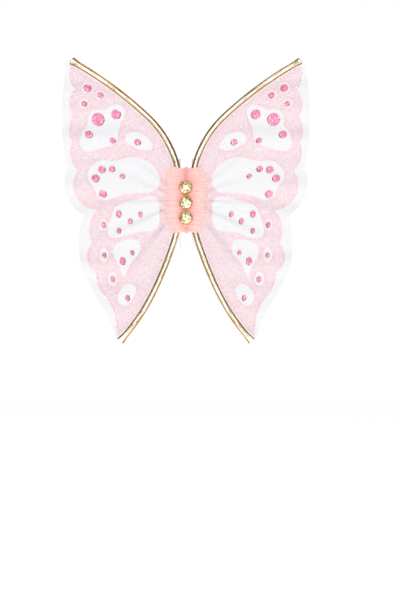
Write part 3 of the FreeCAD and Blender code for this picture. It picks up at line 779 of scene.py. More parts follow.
def gold_lame_material():
    """Metal-coated cloth with painted light: a pale painted highlight on its crest, and painted shade in deep
    gold down both flanks, where the seams run, and in its long creases.

    UV y runs round the casing, in metres, and its crest is a quarter of the way from either of the seams.
    """
    material, shader = new_material("gold_lame")
    where = coordinates(shader, "UV")
    threads = weave_node(where, 0.42 * MM).outputs["Height"]
    crumple = stretched_noise(where, (13, 340, 1), 4)
    wander = math_node("MULTIPLY_ADD", crumple, 1.5, -0.75)
    round_it = new_node(shader.id_data, "SeparateXYZ", vector=where).outputs["Y"]
    turn = math_node("MULTIPLY_ADD", round_it, 1 / CASING_RADIUS, wander)
    # Painted light: 0 on the crest, which is painted pale as a highlight, and 1 on both flanks, which are
    # painted deep gold as shade.
    painted_highlight_to_shade = math_node("ABSOLUTE", math_node("COSINE", turn))
    tint = mix_colors(map_range(painted_highlight_to_shade, 0.32, 0.82), (1.0, 0.95, 0.80), (0.42, 0.20, 0.05))
    # Thin dark lines along the long creases are painted shade.
    off_line = math_node("ABSOLUTE", math_node("SUBTRACT", crumple, 0.5))
    tint = mix_colors(map_range(off_line, 0.005, 0.055, 1, 0), tint, (0.34, 0.18, 0.05))
    wear = map_range(noise_node(where, 160, 3), 0.55, 0.8, 0, 0.4)
    feed(shader, base_color=mix_colors(wear, tint, (0.90, 0.80, 0.56)), metallic=1.0,
         roughness=map_range(threads, 0, 1, 0.36, 0.22), specular_tint=(0.95, 0.64, 0.28, 1))
    add_bump(shader, math_node("MULTIPLY_ADD", threads, 0.12, crumple), 0.7, 0.0009)
    return material


gold_lame = gold_lame_material()
for number, side in enumerate(SIDES):
    for arm in ARMS:
        casing = gold_casing(side, arm, 31 + number * 2 + (arm == "upper"))
        casing.data.materials.append(gold_lame)
        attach(casing, side + "_wing")
        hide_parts("%s_%s_casing" % (side, arm))

# Gold thread holds each casing to the organza, in short slanting stitches along its inner side.
STITCH_PITCH = 3.4 * MM
STITCH_LENGTH = 2.3 * MM
STITCH_RADIUS = 0.22 * MM
STITCH_SIDES = 6
STITCH_ARCH = 0.35 * MM
STITCH_BITE = 1.1 * MM
FIRST_STITCH = 62 * MM


def thread_stitches(name, starts, ends, depths, rise, radius):
    """Short arched threads: a six-sided tube along each chord, lifted by rise sin(pi t) at share t.

    Starts and ends are places (x, z), and depths the two y at which a stitch starts and ends.
    """
    starts, ends = (upright(spots, depth)[:, None] for spots, depth in zip((starts, ends), depths))
    share = np.linspace(0, 1, STITCH_SIDES)[:, None]
    up = np.array([0.0, np.sign(rise), 0.0])
    middle = starts + (ends - starts) * share + np.abs(rise) * up * np.sin(math.pi * share)
    thick = radius * (0.35 + 0.65 * np.sin(math.pi * (0.08 + 0.84 * share)))
    across = np.cross((ends - starts) / np.linalg.norm(ends - starts, axis=-1, keepdims=True), up)
    angle = circle(STITCH_SIDES)[:, None]
    ring = (np.cos(angle) * across[:, :, None] + np.sin(angle) * up) * thick[..., None]
    tubes = grid_faces(STITCH_SIDES, STITCH_SIDES, True, len(starts))
    size = STITCH_SIDES ** 2
    caps = np.array([[0], [size - STITCH_SIDES]]) + np.arange(STITCH_SIDES)
    caps = (np.arange(len(starts))[:, None, None] * size + caps).reshape(-1, STITCH_SIDES)
    piece = add_mesh(name, middle[:, :, None] + ring, tubes.tolist() + caps.tolist())
    close_holes(piece)
    return piece


def spots_along(line, stops):
    """Places on a line at these lengths along it."""
    return np.stack([np.interp(stops, run_along(line), values) for values in line.T], -1)


def sewing_thread_material(name, color, dark):
    """Twisted thread: slanting ply lines with painted shade between them, soft sheen."""
    material, shader = new_material(name)
    ply = noise_node(coordinates(shader, "Object"), 2600, 2)
    # The dark colour goes where the ply height is low: painted shade between the plies.
    feed(shader, base_color=mix_colors(ply, dark, color), roughness=0.45, sheen_weight=0.3)
    add_bump(shader, ply, 0.5, 0.0001)
    return material


gold_thread = sewing_thread_material("gold_thread", (0.74, 0.58, 0.30), (0.42, 0.29, 0.11))
for side, way in SIDES.items():
    begins, finishes = [], []
    for arm in ARMS:
        line = arm_line(arm, FIRST_STITCH)
        stops = np.arange(4 * MM, run_along(line)[-1] - 3 * MM, STITCH_PITCH)
        spot = spots_along(line, stops)
        onward = spots_along(line, stops + 1 * MM) - spot
        outward = right_of(onward) * ARMS[arm]["way"]
        slant = onward / np.hypot(*onward.T)[:, None] * STITCH_LENGTH * 0.6
        begins.append((spot + outward * (CASING_RADIUS - 0.5 * MM)) * (way, 1))
        finishes.append((spot + outward * (CASING_RADIUS + STITCH_BITE) + slant) * (way, 1))
    stitches = thread_stitches(side + "_casing_stitches", np.concatenate(begins), np.concatenate(finishes),
                               (wing_plane - 1.5 * MM, wing_plane - 0.35 * MM), -STITCH_ARCH, STITCH_RADIUS)
    stitches.data.materials.append(gold_thread)
    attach(stitches, side + "_wing")

# ---------------------------------------------------------------- backing patch
# A rounded plate of stiff pale felt lies against the wearer's back and carries everything else.
# The sewn ends of the straps are let into it, and a line of running stitch follows its edge.

PATCH_HALF_WIDTH = 24 * MM
PATCH_HALF_HEIGHT = 50 * MM
PATCH_CORNER = 4 * MM
PATCH_ROLL = 0.9 * MM
FACE_RINGS = 52
DENT_PLAY = 0.3 * MM
STRAP_X = 15 * MM
STRAP_WIDTH = 10 * MM
STRAP_THICKNESS = 1.2 * MM
STRAP_END = 16 * MM
patch_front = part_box("backing_patch")[0][1]


def rounded_border(half_width, half_height, corner):
    """Closed outline (x, z) of a rounded rectangle: four quarter circles joined by straight runs."""
    quarter = np.linspace(0, math.pi / 2, 9)
    spots = []
    for turn, (sx, sz) in enumerate(((1, 1), (-1, 1), (-1, -1), (1, -1))):
        middle = np.array([sx * (half_width - corner), sz * (half_height - corner)])
        angle = quarter + turn * math.pi / 2
        spots.append(middle + corner * np.stack([np.cos(angle), np.sin(angle)], -1))
    outline = []
    for one, two, count in zip(spots, spots[1:] + spots[:1], (36, 72, 36, 72)):
        share = np.linspace(0, 1, count, endpoint=False)[1:, None]
        outline += [one, one[-1] + (two[0] - one[-1]) * share]
    return np.concatenate(outline)


def strap_dent(x, z):
    """Depth of the hollows for the strap ends: full inside each rectangle, soft at its sides."""
    across = (STRAP_WIDTH / 2 + DENT_PLAY - np.abs(np.abs(x) - STRAP_X)) / (2 * DENT_PLAY)
    along = (np.abs(z) - (PATCH_HALF_HEIGHT - STRAP_END - DENT_PLAY)) / (2 * DENT_PLAY)
    return (STRAP_THICKNESS + 0.05 * MM) * smoothstep(across + 0.5) * smoothstep(along + 0.5)


def felt_patch():
    """Rings from the middle of the front, round the rolled edge, to the middle of the back."""
    outer, inner = (rounded_border(PATCH_HALF_WIDTH - roll, PATCH_HALF_HEIGHT - roll, PATCH_CORNER - roll)
                    for roll in (0, PATCH_ROLL))
    share = np.linspace(0, 1, FACE_RINGS)
    roll = np.linspace(0, math.pi / 2, 6)[1:]
    scale = np.concatenate([share, np.ones(2 * len(roll)), share[::-1]])
    out = np.concatenate([0 * share, np.sin(roll), np.sin(roll[::-1]), 0 * share])
    depth = np.concatenate([patch_front + 0 * share, patch_front + PATCH_ROLL * (1 - np.cos(roll)),
                            -PATCH_ROLL * (1 - np.cos(roll[::-1])), 0 * share])[:, None]
    flat = scale[:, None, None] * inner + out[:, None, None] * (outer - inner)
    back = np.arange(len(scale))[:, None] >= FACE_RINGS + len(roll)
    depth = np.where(back, np.minimum(depth, -strap_dent(flat[..., 0], flat[..., 1])), depth)
    piece = add_mesh("felt_patch", upright(flat, depth), grid_faces(len(scale), len(inner), True))
    merge_points(piece)
    close_holes(piece)
    return piece


def fuzz_group():
    """Matted fibre: a fine height and a slow cloud of lighter and darker places."""
    group, given, leave = new_group("matted_fibre", ["Vector"], ["Fibre", "Cloud"])
    feed(leave, fibre=noise_node(given["Vector"], 2200, 5, 0.7), cloud=noise_node(given["Vector"], 90, 3))
    return group


MATTED_FIBRE = fuzz_group()


def felt_material(name, pale, deep):
    """Pressed felt in two close shades, dull, with a soft sheen: the deeper shade falls partly in random clouds
    and partly, as painted shade, in the fibre hollows.
    """
    material, shader = new_material(name)
    fuzz = group_node(coordinates(shader, "Object"), MATTED_FIBRE).outputs
    mixed = math_node("MULTIPLY", fuzz["Fibre"], fuzz["Cloud"])
    # Deeper where fibre times cloud is low: random tone from the cloud, and painted shade where the fibre
    # height is low.
    feed(shader, base_color=mix_colors(map_range(mixed, 0.12, 0.38), deep, pale), roughness=0.95,
         sheen_weight=0.35)
    add_bump(shader, fuzz["Fibre"], 0.7, 0.00025)
    return material


patch = felt_patch()
patch.data.materials.append(felt_material("pale_felt", (0.86, 0.76, 0.75), (0.72, 0.58, 0.57)))
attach(patch, "center")
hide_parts("backing_patch")


EDGE_INSET = 2.4 * MM
EDGE_PITCH = 3.6 * MM
EDGE_SINK = -0.15 * MM
edge_line = rounded_border(PATCH_HALF_WIDTH - EDGE_INSET, PATCH_HALF_HEIGHT - EDGE_INSET, PATCH_CORNER * 0.6)
edge_line = np.concatenate([edge_line, edge_line[:1]])
edge_stops = np.arange(0, run_along(edge_line)[-1] - 3 * MM, EDGE_PITCH)
edge_from = spots_along(edge_line, edge_stops)
edge_to = spots_along(edge_line, edge_stops + STITCH_LENGTH)
clear = strap_dent(*edge_from.T) + strap_dent(*edge_to.T) == 0
edge_from, edge_to = edge_from[clear], edge_to[clear]
edge_to = edge_from + (edge_to - edge_from) / np.hypot(*(edge_to - edge_from).T)[:, None] * STITCH_LENGTH
patch_stitches = thread_stitches("patch_stitches", edge_from, edge_to, (EDGE_SINK, EDGE_SINK), STITCH_ARCH,
                                 0.24 * MM)
white_thread = sewing_thread_material("white_thread", (0.90, 0.86, 0.84), (0.66, 0.60, 0.58))
patch_stitches.data.materials.append(white_thread)
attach(patch_stitches, "center")

# ---------------------------------------------------------------- wire sleeves
# Two tunnels of folded felt, sewn to the patch, in which the wires' upright stretches turn. Each is
# a strip folded over on itself, so that its outer wall is a little ridged by the stitching.

BORE_RADIUS = 1.25 * MM
SLEEVE_AROUND = 48
WALL_RINGS = 22


def squared_circle(angle, power):
    """Reach of a rounded square at an angle: (|cos|^power + |sin|^power)^(-1 / power)."""
    return (np.abs(np.cos(angle)) ** power + np.abs(np.sin(angle)) ** power) ** (-1 / power)


def felt_sleeve(side):
    """A block of rounded section round a bore: outer wall up, over the rim, bore down, rim again."""
    low, high = np.array(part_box(side + "_wire_sleeve"))
    angle = circle(SLEEVE_AROUND)
    round_off = np.stack([np.cos(angle), np.sin(angle)], -1)
    outer = ((low + high) / 2)[:2] + ((high - low) / 2)[:2] * round_off * squared_circle(angle, 5)[:, None]
    bore = np.array([SIDES[side] * HINGE_X, wing_plane]) + BORE_RADIUS * round_off
    share = np.concatenate([np.ones(WALL_RINGS), [0.93, 0.8, 0.4, 0.06], np.zeros(6), [0.06, 0.4, 0.8, 0.93]])
    rise = np.concatenate([0.02 + 0.96 * np.linspace(0, 1, WALL_RINGS), [0.99, 1.0, 1.0, 0.995],
                           np.linspace(0.98, 0.02, 6), [0.005, 0, 0, 0.01]])
    swell = 1 - 0.05 * np.sin(rise * math.pi * 7) ** 2 * (share > 0.9)
    flat = bore + (share * swell)[:, None, None] * (outer - bore)
    z = np.broadcast_to((low[2] + (high[2] - low[2]) * rise)[:, None], flat.shape[:2])
    ring = np.arange(SLEEVE_AROUND)
    last = (len(share) - 1) * SLEEVE_AROUND
    after = (ring + 1) % SLEEVE_AROUND
    faces = np.concatenate([grid_faces(len(share), SLEEVE_AROUND, True),
                            np.stack([last + ring, last + after, after, ring], -1)])
    piece = add_mesh(side + "_felt_sleeve", np.concatenate([flat, z[..., None]], -1), faces)
    close_holes(piece)
    return piece


sleeve_felt = felt_material("sleeve_felt", (0.84, 0.70, 0.69), (0.66, 0.50, 0.50))
for side in SIDES:
    sleeve = felt_sleeve(side)
    sleeve.data.materials.append(sleeve_felt)
    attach(sleeve, "center")
    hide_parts(side + "_wire_sleeve")

# ---------------------------------------------------------------- gathered organza middle
# Between the sleeves both wings' organza is drawn up into one tight bunch and sewn to the patch. Its
# folds lie across it, one above the other.

BUNCH_ROWS = 300
BUNCH_AROUND = 44


def bunched_cloth(name, node, fold, depth, seed, groove=lambda z: 0 * z):
    """A bunch of cloth drawn up by a thread: an upright tube of flattened section, in a CAD node's box.

    Folds cross it as sines of the height, whose phase wanders with the angle, and groove is how far
    the thread pulls it in along its middle, wherever groove's heights say so.
    """
    (_, front, _), (half_width, back, half_height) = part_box(node)
    random = np.random.default_rng(seed)
    height = np.linspace(-1, 1, BUNCH_ROWS)[:, None]
    angle = circle(BUNCH_AROUND)
    ends = (1 - np.abs(height) ** 9) ** 0.5
    cosine, sine, squared = np.cos(angle), np.sin(angle), squared_circle(angle, 2.6)
    z = height * half_height
    ripple = np.zeros_like(z + angle)
    for _ in range(4):
        pitch = fold * random.uniform(0.7, 1.6)
        sway = random.uniform(-1.4, 1.4, 2)
        start = random.uniform(0, 2 * math.pi)
        ripple += wave(z, pitch, sway[0] * sine + sway[1] * np.cos(2 * angle) + start)
    proud = depth * ripple / 4 - depth
    x = (half_width + proud) * cosine * squared * ends
    pull = groove(z) * (0.8 + 0.4 * np.exp(-(x / (1.6 * MM)) ** 2)) * (sine < 0)
    y = (front + back) / 2 + ((back - front) / 2 + proud) * sine * squared * (0.25 + 0.75 * ends) + pull
    tilt = 0.7 * MM * np.sin(height * 5 + random.uniform(0, 6))
    piece = add_mesh(name, np.stack([x, y, z + tilt * cosine], -1), grid_faces(BUNCH_ROWS, BUNCH_AROUND, True))
    around = angle / (2 * math.pi) * 4 * half_width
    set_uv(piece, np.stack(np.broadcast_arrays(around, z), -1))
    close_holes(piece)
    return piece


def bunched_organza_material():
    """Many thicknesses of organza at once: milky, cool, silky along the folds."""
    material, shader = new_material("bunched_organza")
    where = coordinates(shader, "Object")
    cloud = noise_node(where, 260, 4)
    feed(shader, base_color=mix_colors(cloud, (0.80, 0.66, 0.69), (0.93, 0.89, 0.91)), roughness=0.42,
         sheen_weight=0.5)
    add_bump(shader, noise_node(where, 1500, 3), 0.4, 0.0002)
    return material


gather = bunched_cloth("organza_gather", "center_gather", 4.2 * MM, 0.35 * MM, 51)
gather.data.materials.append(bunched_organza_material())
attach(gather, "center")
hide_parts("center_gather")

# ---------------------------------------------------------------- ruffle
# Strips of salmon tulle, gathered by hand along one upright thread. In the middle they stand up as
# a ridge that carries the jewels, and on both sides they fan out to soft, frayed, raw edges.

RUFFLE_LAYERS = [
    # reach, half height in the middle, half height at the edge, depth in the middle, depth outside
    (41.0, 53.0, 57.0, 10.8, 9.9),
    (37.0, 51.5, 58.0, 12.0, 11.1),
    (39.5, 49.0, 54.5, 13.2, 12.5),
    (33.0, 50.0, 56.5, 14.2, 13.9),
    (36.0, 46.0, 51.0, 15.0, 15.3),
]
RUFFLE_ROWS = 210
RUFFLE_COLUMNS = 38
JEWEL_NAMES = ("top", "middle", "bottom")
core_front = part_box("ruffle_core")[0][1]


def thread_groove(z):
    """How far the gather thread pulls the tulle in above the top jewel and below the bottom one."""
    above = smoothstep((z - 33 * MM) / (3 * MM))
    below = smoothstep((-z - 43 * MM) / (3 * MM))
    return 2.6 * MM * (above + below)


def tulle_layer(facts, seed):
    """One strip on the right side, as (x, y, z) and UV grids. Columns run out, rows run up.

    Its outline is a rectangle, narrower towards its foot, with rounded corners and a ragged edge.
    Pleats are sines of the height that grow outwards and wander. It keeps in front of the gold
    casings that it covers.
    """
    reach, tall_in, tall_out, deep_in, deep_out = (value * MM for value in facts)
    random = np.random.default_rng(seed)
    out = np.linspace(0, 1, RUFFLE_COLUMNS)[None, :]
    up = np.linspace(-1, 1, RUFFLE_ROWS)[:, None]
    phase = random.uniform(0, 2 * math.pi, 6)
    ragged = 0.030 * np.sin(31 * up + phase[0]) + 0.022 * np.sin(57 * up + phase[1])
    ragged = ragged + 0.030 * np.sin(13 * up + phase[2])
    shape = (1 - 0.17 * np.abs(up) ** 6 - 0.24 * smoothstep((-up - 0.45) / 0.55)) * (1 + ragged)
    x = 0.6 * MM + reach * out * shape
    z = up * (tall_in + (tall_out - tall_in) * out ** 0.8)
    z = z + 1.6 * MM * out * np.sin(5 * up + phase[3])
    size = (0.30 + 0.75 * out) * MM
    turn = 38 * up + 2.0 * np.sin(6 * up + phase[4]) + 0.9 * out * np.sin(9 * up + phase[5]) + phase[0]
    z = z + 0.55 * size * np.cos(turn)
    depth = deep_in + (deep_out - deep_in) * smoothstep(out * 1.3)
    depth = depth + size * np.sin(turn) * 0.8 + 0.35 * size * np.sin(2.3 * turn + phase[1])
    depth = depth + random.uniform(-0.6, 0.9) * MM * out ** 2
    depth = depth - thread_groove(z) * np.exp(-(x / (2.6 * MM)) ** 2)
    ridge = np.zeros_like(x)
    for arm in ARMS:
        gap = gap_to(arm_line(arm, 44 * MM)[::3], x, z)
        round_top = np.sqrt(np.clip((CASING_RADIUS + 1.6 * MM) ** 2 - gap ** 2, 0, None))
        ridge = np.maximum(ridge, -wing_plane + round_top + 0.25 * (deep_in - 10 * MM))
    soft = 0.5 * MM
    depth = soft * np.logaddexp(depth / soft, ridge / soft)
    uv = np.stack(np.broadcast_arrays(out * 0.036 + 0 * up, z + seed * 0.13), -1)
    return np.stack([x, -depth, z], -1), uv


def ruffle_side(side, number):
    """All strips of one side in one piece."""
    points, places = (np.stack(parts) for parts in zip(*[
        tulle_layer(facts, 61 + 17 * number + k) for k, facts in enumerate(RUFFLE_LAYERS)]))
    points[..., 0] *= SIDES[side]
    faces = grid_faces(RUFFLE_ROWS, RUFFLE_COLUMNS, False, len(RUFFLE_LAYERS))
    piece = add_mesh(side + "_tulle_ruffle", points, faces)
    set_uv(piece, places)
    face_viewer(piece)
    return piece


def tulle_material():
    """Salmon tulle: a fine net, threads drawn out level by the gathers, deeper in the middle.

    UV x is 0 at the gathers and 36 mm at the raw edge, where the net frays away. A faint glow
    stands for the light that strays between the many layers.
    """
    material, shader = new_material("salmon_tulle")
    where = coordinates(shader, "UV")
    out = new_node(shader.id_data, "SeparateXYZ", vector=where).outputs["X"]
    threads = stretched_noise(where, (35, 900, 1), 3)
    tint = mix_colors(map_range(out, 0.003, 0.031), (0.97, 0.43, 0.40), (1.0, 0.72, 0.69))
    tint = mix_colors(map_range(threads, 0.35, 0.65, 0, 0.30), tint, (0.98, 0.78, 0.75))
    blotch = map_range(noise_node(where, 70, 3), 0.42, 0.70, 0, 0.5)
    tint = mix_colors(blotch, tint, (0.97, 0.52, 0.49))
    cover = math_node("MULTIPLY", weave_node(where, 0.9 * MM).outputs["Cover"],
                      map_range(threads, 0.3, 0.7, 0.34, 0.60))
    fray = map_range(math_node("MULTIPLY_ADD", noise_node(where, 900, 3), 0.010, out), 0.025, 0.0412, 1, 0)
    feed(shader, base_color=tint, emission_color=tint, emission_strength=0.15, roughness=0.6, sheen_weight=0.4,
         alpha=math_node("MULTIPLY", math_node("ADD", cover, 0.26), fray))
    add_bump(shader, threads, 0.25, 0.0002)
    return material


tulle = tulle_material()
for number, side in enumerate(SIDES):
    ruffle = ruffle_side(side, number)
    ruffle.data.materials.append(tulle)
    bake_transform(ruffle)
    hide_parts(side + "_ruffle_frill")


def ridge_material():
    """The same tulle many layers deep: nearly solid, with painted shade darkening it down in its folds."""
    material, shader = new_material("gathered_tulle")
    where = coordinates(shader, "Object")
    folds = stretched_noise(where, (120, 300, 800), 4)
    mixed = math_node("MULTIPLY", folds, map_range(noise_node(where, 1300, 2), 0.3, 0.7, 0.8, 1.2))
    # The colour is painted shade: darker where the fold height of the bump is low.
    tint = mix_colors(map_range(mixed, 0.3, 0.62), (0.90, 0.36, 0.30), (1.0, 0.56, 0.50))
    feed(shader, base_color=tint, roughness=0.7, sheen_weight=0.4)
    add_bump(shader, folds, 0.6, 0.0004)
    return material


ridge = bunched_cloth("ruffle_ridge", "ruffle_core", 3.4 * MM, 0.45 * MM, 71, thread_groove)
ridge.data.materials.append(ridge_material())
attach(ridge, "center")
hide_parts("ruffle_core")

# Salmon thread draws the strips together. It shows as a row of stitches above and below the jewels.
thread_stops = np.concatenate([np.arange(34.5, 54, 3.4), -np.arange(44.5, 54, 3.4)]) * MM
thread_from = np.stack([0.35 * MM * np.sin(thread_stops * 900), thread_stops], -1)
thread_depth = core_front + 2.9 * MM
gather_stitches = thread_stitches("gather_stitches", thread_from, thread_from + np.array([0.3, 2.4]) * MM,
                                  (thread_depth, thread_depth), -0.5 * MM, 0.36 * MM)
salmon_thread = sewing_thread_material("salmon_thread", (0.86, 0.30, 0.28), (0.55, 0.12, 0.12))
gather_stitches.data.materials.append(salmon_thread)
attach(gather_stitches, "center")
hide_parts("gather_thread")

# ---------------------------------------------------------------- jewels
# Three round champagne glass stones, backed with foil, each in a fluted gold cup whose toothed rim
# and four claws hold it. The cups are sewn through their backs to the ruffle.

CUP_PROFILE = np.array([
    # radius and height above the cup's back
    (0.0, 0.0), (4.0, 0.0), (7.5, 0.05), (8.1, 0.25), (8.5, 0.9), (9.2, 2.1), (10.0, 3.4), (10.8, 4.5),
    (11.35, 5.2), (11.6, 5.6), (11.55, 6.0), (11.25, 6.2), (10.95, 6.1), (10.8, 5.7), (10.5, 5.1), (9.4, 3.4),
    (8.1, 1.6), (7.0, 1.3), (3.0, 1.25), (0.0, 1.25),
]) * MM
CUP_FLUTES = 28
CUP_WALL_POINTS = 13
CLAW_PATH = np.array([
    # radius and height above the cup's back
    (11.2, 3.4), (11.75, 4.6), (11.95, 5.8), (11.7, 6.9), (10.9, 7.4), (10.0, 7.3), (9.3, 6.95),
]) * MM
CLAW_HALF_WIDTH = 0.9 * MM
CLAW_HALF_THICKNESS = 0.42 * MM
CLAW_RINGS = 20
CLAW_AROUND = 14
STONE_RINGS = [
    # radius, height above the cup's back, corners, share of a step that they are turned by
    (4.3, 8.8, 8, 0.0), (6.9, 8.1, 8, 0.5), (9.1, 6.8, 16, 0.25), (10.45, 5.55, 16, 0.0),
    (10.45, 5.15, 16, 0.0), (6.3, 2.9, 8, 0.0), (0.7, 1.45, 8, 0.0),
]
STONE_GIRDLE = 5.2 * MM


def gold_cup(name, seat, turn):
    """A turned cup: the profile carried round, its outer wall and rim fluted by a cosine of the angle."""
    angle = circle(CUP_FLUTES * 6)
    radius, height = CUP_PROFILE[:, :1], CUP_PROFILE[:, 1:]
    point = np.arange(len(CUP_PROFILE))[:, None]
    wall = smoothstep((height - 0.8 * MM) / (2 * MM)) * (point < CUP_WALL_POINTS)
    rim = np.exp(-((point - 10.5) / 1.6) ** 2)
    flute = np.cos(CUP_FLUTES * angle)
    r = radius * (1 + 0.020 * wall * flute)
    h = height + 0.38 * MM * rim * flute
    points = np.stack([seat[0] + r * np.cos(angle + turn), seat[1] - h, seat[2] + r * np.sin(angle + turn)], -1)
    piece = add_mesh(name, points, grid_faces(len(CUP_PROFILE), len(angle), True))
    merge_points(piece)
    close_holes(piece)
    return piece


def claws(name, seat, turn):
    """Four prongs: an oval carried along the path from the cup's wall in over the stone, thinner to its end."""
    run = np.linspace(0, len(CLAW_PATH) - 1, CLAW_RINGS)
    path = np.stack([np.interp(run, np.arange(len(CLAW_PATH)), values) for values in CLAW_PATH.T], -1)
    side = -right_of(np.gradient(path, axis=0))
    share = run / run[-1]
    slim = (np.sqrt(np.clip(1 - share ** 8, 0.02, 1)) * (0.80 + 0.2 * np.sin(share * math.pi)))[:, None]
    angle = circle(CLAW_AROUND)
    flat = path[:, None] + side[:, None] * (CLAW_HALF_THICKNESS * slim * np.sin(angle))[..., None]
    width = CLAW_HALF_WIDTH * slim * np.cos(angle)
    where = turn + circle(4)[:, None, None]
    x = flat[..., 0] * np.cos(where) - width * np.sin(where)
    z = flat[..., 0] * np.sin(where) + width * np.cos(where)
    points = np.stack([seat[0] + x, seat[1] - np.broadcast_to(flat[..., 1], x.shape), seat[2] + z], -1)
    piece = add_mesh(name, points, grid_faces(CLAW_RINGS, CLAW_AROUND, True, 4))
    close_holes(piece)
    return piece


def cut_stone(name, seat, turn):
    """A brilliant cut, as the hull of its corners: table, crown, girdle, pavilion and culet rings."""
    corners = []
    for radius, height, count, offset in STONE_RINGS:
        angle = (np.arange(count) + offset) * 2 * math.pi / count + turn
        flat = np.stack([np.cos(angle), np.sin(angle)], -1) * radius * MM + (seat[0], seat[2])
        corners.append(upright(flat, seat[1] - height * MM))
    piece = add_mesh(name, np.concatenate(corners), [])
    work = bmesh.new()
    work.from_mesh(piece.data)
    bmesh.ops.convex_hull(work, input=work.verts)
    bmesh.ops.dissolve_limit(work, angle_limit=0.02, verts=work.verts, edges=work.edges)
    bmesh.ops.recalc_face_normals(work, faces=work.faces)
    work.to_mesh(piece.data)
    work.free()
    behind = read(piece.data.polygons, "center", 3)[:, 1] > seat[1] - STONE_GIRDLE
    piece.data.polygons.foreach_set("material_index", behind.astype(int))
    return piece


def polished_gold_material():
    """Bright yellow gilding with fine scratches and browner hollows."""
    material, shader = new_material("gilded_metal")
    where = coordinates(shader, "Object")
    scratch = noise_node(where, 1800, 3)
    tarnish = map_range(noise_node(where, 320, 3), 0.42, 0.66)
    feed(shader, base_color=mix_colors(tarnish, (0.93, 0.52, 0.12), (0.55, 0.27, 0.05)), metallic=1.0,
         roughness=map_range(scratch, 0.3, 0.7, 0.14, 0.32))
    add_bump(shader, scratch, 0.2, 0.00008)
    return material


def champagne_glass_material():
    """Clear cut glass over foil, with painted reflections: each back facet seen through the front ones is
    painted as a light cell beside dark ones, and a few cells as painted glints.
    """
    material, shader = new_material("champagne_glass")
    painted_facet_reflections = grain_node(coordinates(shader, "Object"), 2.4 * MM)
    # Painted reflections: cells from dark brown to pale champagne stand for the back of the stone reflected
    # through its front.
    tint = mix_colors(map_range(painted_facet_reflections.outputs["Shade"], 0.1, 0.7), (0.34, 0.21, 0.05),
                      (1.0, 0.92, 0.62))
    # A few cells are painted near white as glints.
    tint = mix_colors(painted_facet_reflections.outputs["Flash"], tint, (1.0, 1.0, 0.94))
    feed(shader, base_color=tint, metallic=0.55, roughness=0.14, coat_weight=0.25, coat_roughness=0.02)
    return material


def foil_material():
    """Bright foil behind the stone, paler and deeper from facet to facet."""
    material, shader = new_material("stone_foil")
    tint = noise_node(coordinates(shader, "Object"), 420, 2)
    feed(shader, base_color=mix_colors(tint, (0.96, 0.80, 0.42), (1.0, 0.96, 0.82)), metallic=1.0,
         roughness=0.12)
    return material


gilding, glass, foil = polished_gold_material(), champagne_glass_material(), foil_material()
for number, name in enumerate(JEWEL_NAMES):
    low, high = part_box("jewel_setting_" + name)
    seat = ((low[0] + high[0]) / 2, high[1], (low[2] + high[2]) / 2)
    turn = 0.35 + 0.5 * number
    cup = gold_cup("jewel_cup_" + name, seat, turn)
    prongs = claws("jewel_claws_" + name, seat, turn)
    stone = cut_stone("cut_stone_" + name, seat, turn * 0.7)
    for piece in (cup, prongs):
        piece.data.materials.append(gilding)
        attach(piece, "center")
    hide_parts("jewel_setting_" + name)
    stone.data.materials.append(glass)
    stone.data.materials.append(foil)
    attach(stone, "center")
    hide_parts("jewel_" + name)

# ---------------------------------------------------------------- arm straps
# One length of flat white elastic a side. Both ends are sewn into the patch with a boxed cross, and
# the loop between them goes over the shoulder and under the arm.

STRAP_ABOVE = [(4, 7.7), (34, 21.7), (66, -4.3)]
STRAP_BELOW = [(70, 10.3), (50, -33.7), (24, -27.7), (4, -7.7)]
STRAP_ROOT = 50.3
SEWN_FROM = 34.1
STRAP_RIBS = 7


def strap_line():
    """Middle line (y, z) of one strap: up its sewn end, round the loop, up to its other sewn end."""
    middle = -STRAP_THICKNESS / 2 / MM
    points = [(middle + y, STRAP_ROOT + z) for y, z in STRAP_ABOVE]
    points += [(middle + y, z - STRAP_ROOT) for y, z in STRAP_BELOW] + [(middle, -STRAP_ROOT)]
    start = np.array([middle, STRAP_ROOT]) * MM
    loop, _ = tangent_arcs(start, np.array([0.0, 1.0]), [(y * MM, z * MM) for y, z in points],
                           (20, 50, 60, 90, 60, 50, 30, 20))
    sewn = np.linspace(SEWN_FROM, STRAP_ROOT, 24, endpoint=False)[:, None] * MM
    above = np.concatenate([np.full_like(sewn, start[0]), sewn], 1)
    below = above[::-1] * np.array([1, -1])
    return np.concatenate([above, loop, below])


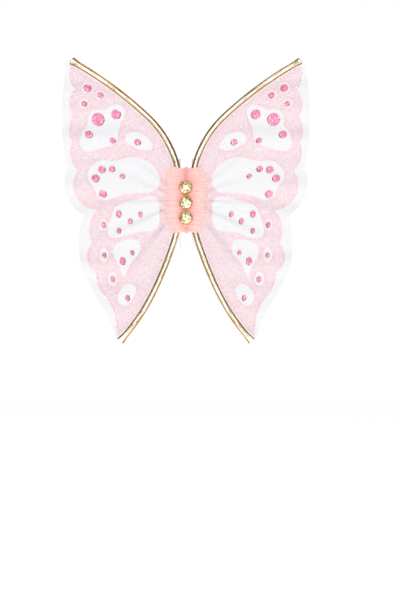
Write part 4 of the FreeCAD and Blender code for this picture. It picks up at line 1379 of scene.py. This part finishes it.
def elastic_strap(side):
    """A flat band along the line: section with seven lengthwise ribs and rounded edges."""
    line = strap_line()
    run = run_along(line)[:, None]
    across = np.linspace(-1, 1, 43)
    edge = np.sqrt(np.clip(1 - np.abs(across) ** 14, 0, 1))
    rib = 0.88 + 0.12 * np.abs(np.cos(across * math.pi * STRAP_RIBS / 2))
    half = STRAP_THICKNESS / 2 * 0.97 * edge * rib
    x = np.concatenate([across, across[::-1][1:-1]]) * STRAP_WIDTH / 2 * 0.985
    lift = np.concatenate([half, -half[::-1][1:-1]])
    flat = line[:, None] + right_of(np.gradient(line, axis=0))[:, None] * lift[:, None]
    scallop = 1 + 0.012 * wave(run, 2.1 * MM)
    points = np.concatenate([(SIDES[side] * STRAP_X + x * scallop)[..., None], flat], -1)
    piece = add_mesh(side + "_elastic_strap", points, grid_faces(len(line), len(x), True))
    set_uv(piece, np.stack(np.broadcast_arrays(x, run), -1))
    close_holes(piece)
    return piece


def elastic_material():
    """White covered elastic: ribs lengthwise, fine picks across, a touch of painted grey shade between them."""
    material, shader = new_material("white_elastic")
    picks = weave_node(coordinates(shader, "UV"), 0.7 * MM).outputs["Height"]
    # Grey where the pick height is low: painted shade.
    feed(shader, base_color=mix_colors(picks, (0.78, 0.75, 0.75), (0.97, 0.95, 0.95)), roughness=0.7,
         sheen_weight=0.3)
    add_bump(shader, picks, 0.6, 0.0002)
    return material


elastic = elastic_material()
for side, way in SIDES.items():
    strap = elastic_strap(side)
    strap.data.materials.append(elastic)
    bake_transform(strap)
    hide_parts(side + "_arm_strap", side + "_strap_ends")

# Each sewn end has a boxed cross of white stitches.
BOX_HALF_SIZE = (3.4 * MM, 5.6 * MM)
BOX_PITCH = 2.0 * MM
BOX_STITCH = 1.5 * MM
BOX_SINK = -0.12 * MM
box_corners = np.array([(-1, -1), (1, -1), (1, 1), (-1, 1)]) * BOX_HALF_SIZE
cross_from, cross_to = [], []
for first, last in box_corners[[(0, 1), (1, 2), (2, 3), (3, 0), (0, 2), (3, 1)]]:
    length = np.hypot(*(last - first))
    stops = np.arange(0.2 * MM, length - 1.2 * MM, BOX_PITCH)[:, None]
    heading = (last - first) / length
    cross_from.append(first + heading * stops)
    cross_to.append(first + heading * (stops + BOX_STITCH))
end_middle = PATCH_HALF_HEIGHT - STRAP_END / 2
for side, way in SIDES.items():
    starts, ends = (np.concatenate([
        np.concatenate(spots) + (way * STRAP_X, middle) for middle in (end_middle, -end_middle)
    ]) for spots in (cross_from, cross_to))
    boxes = thread_stitches(side + "_strap_stitches", starts, ends, (BOX_SINK, BOX_SINK), 0.3 * MM, 0.2 * MM)
    boxes.data.materials.append(white_thread)
    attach(boxes, "center")
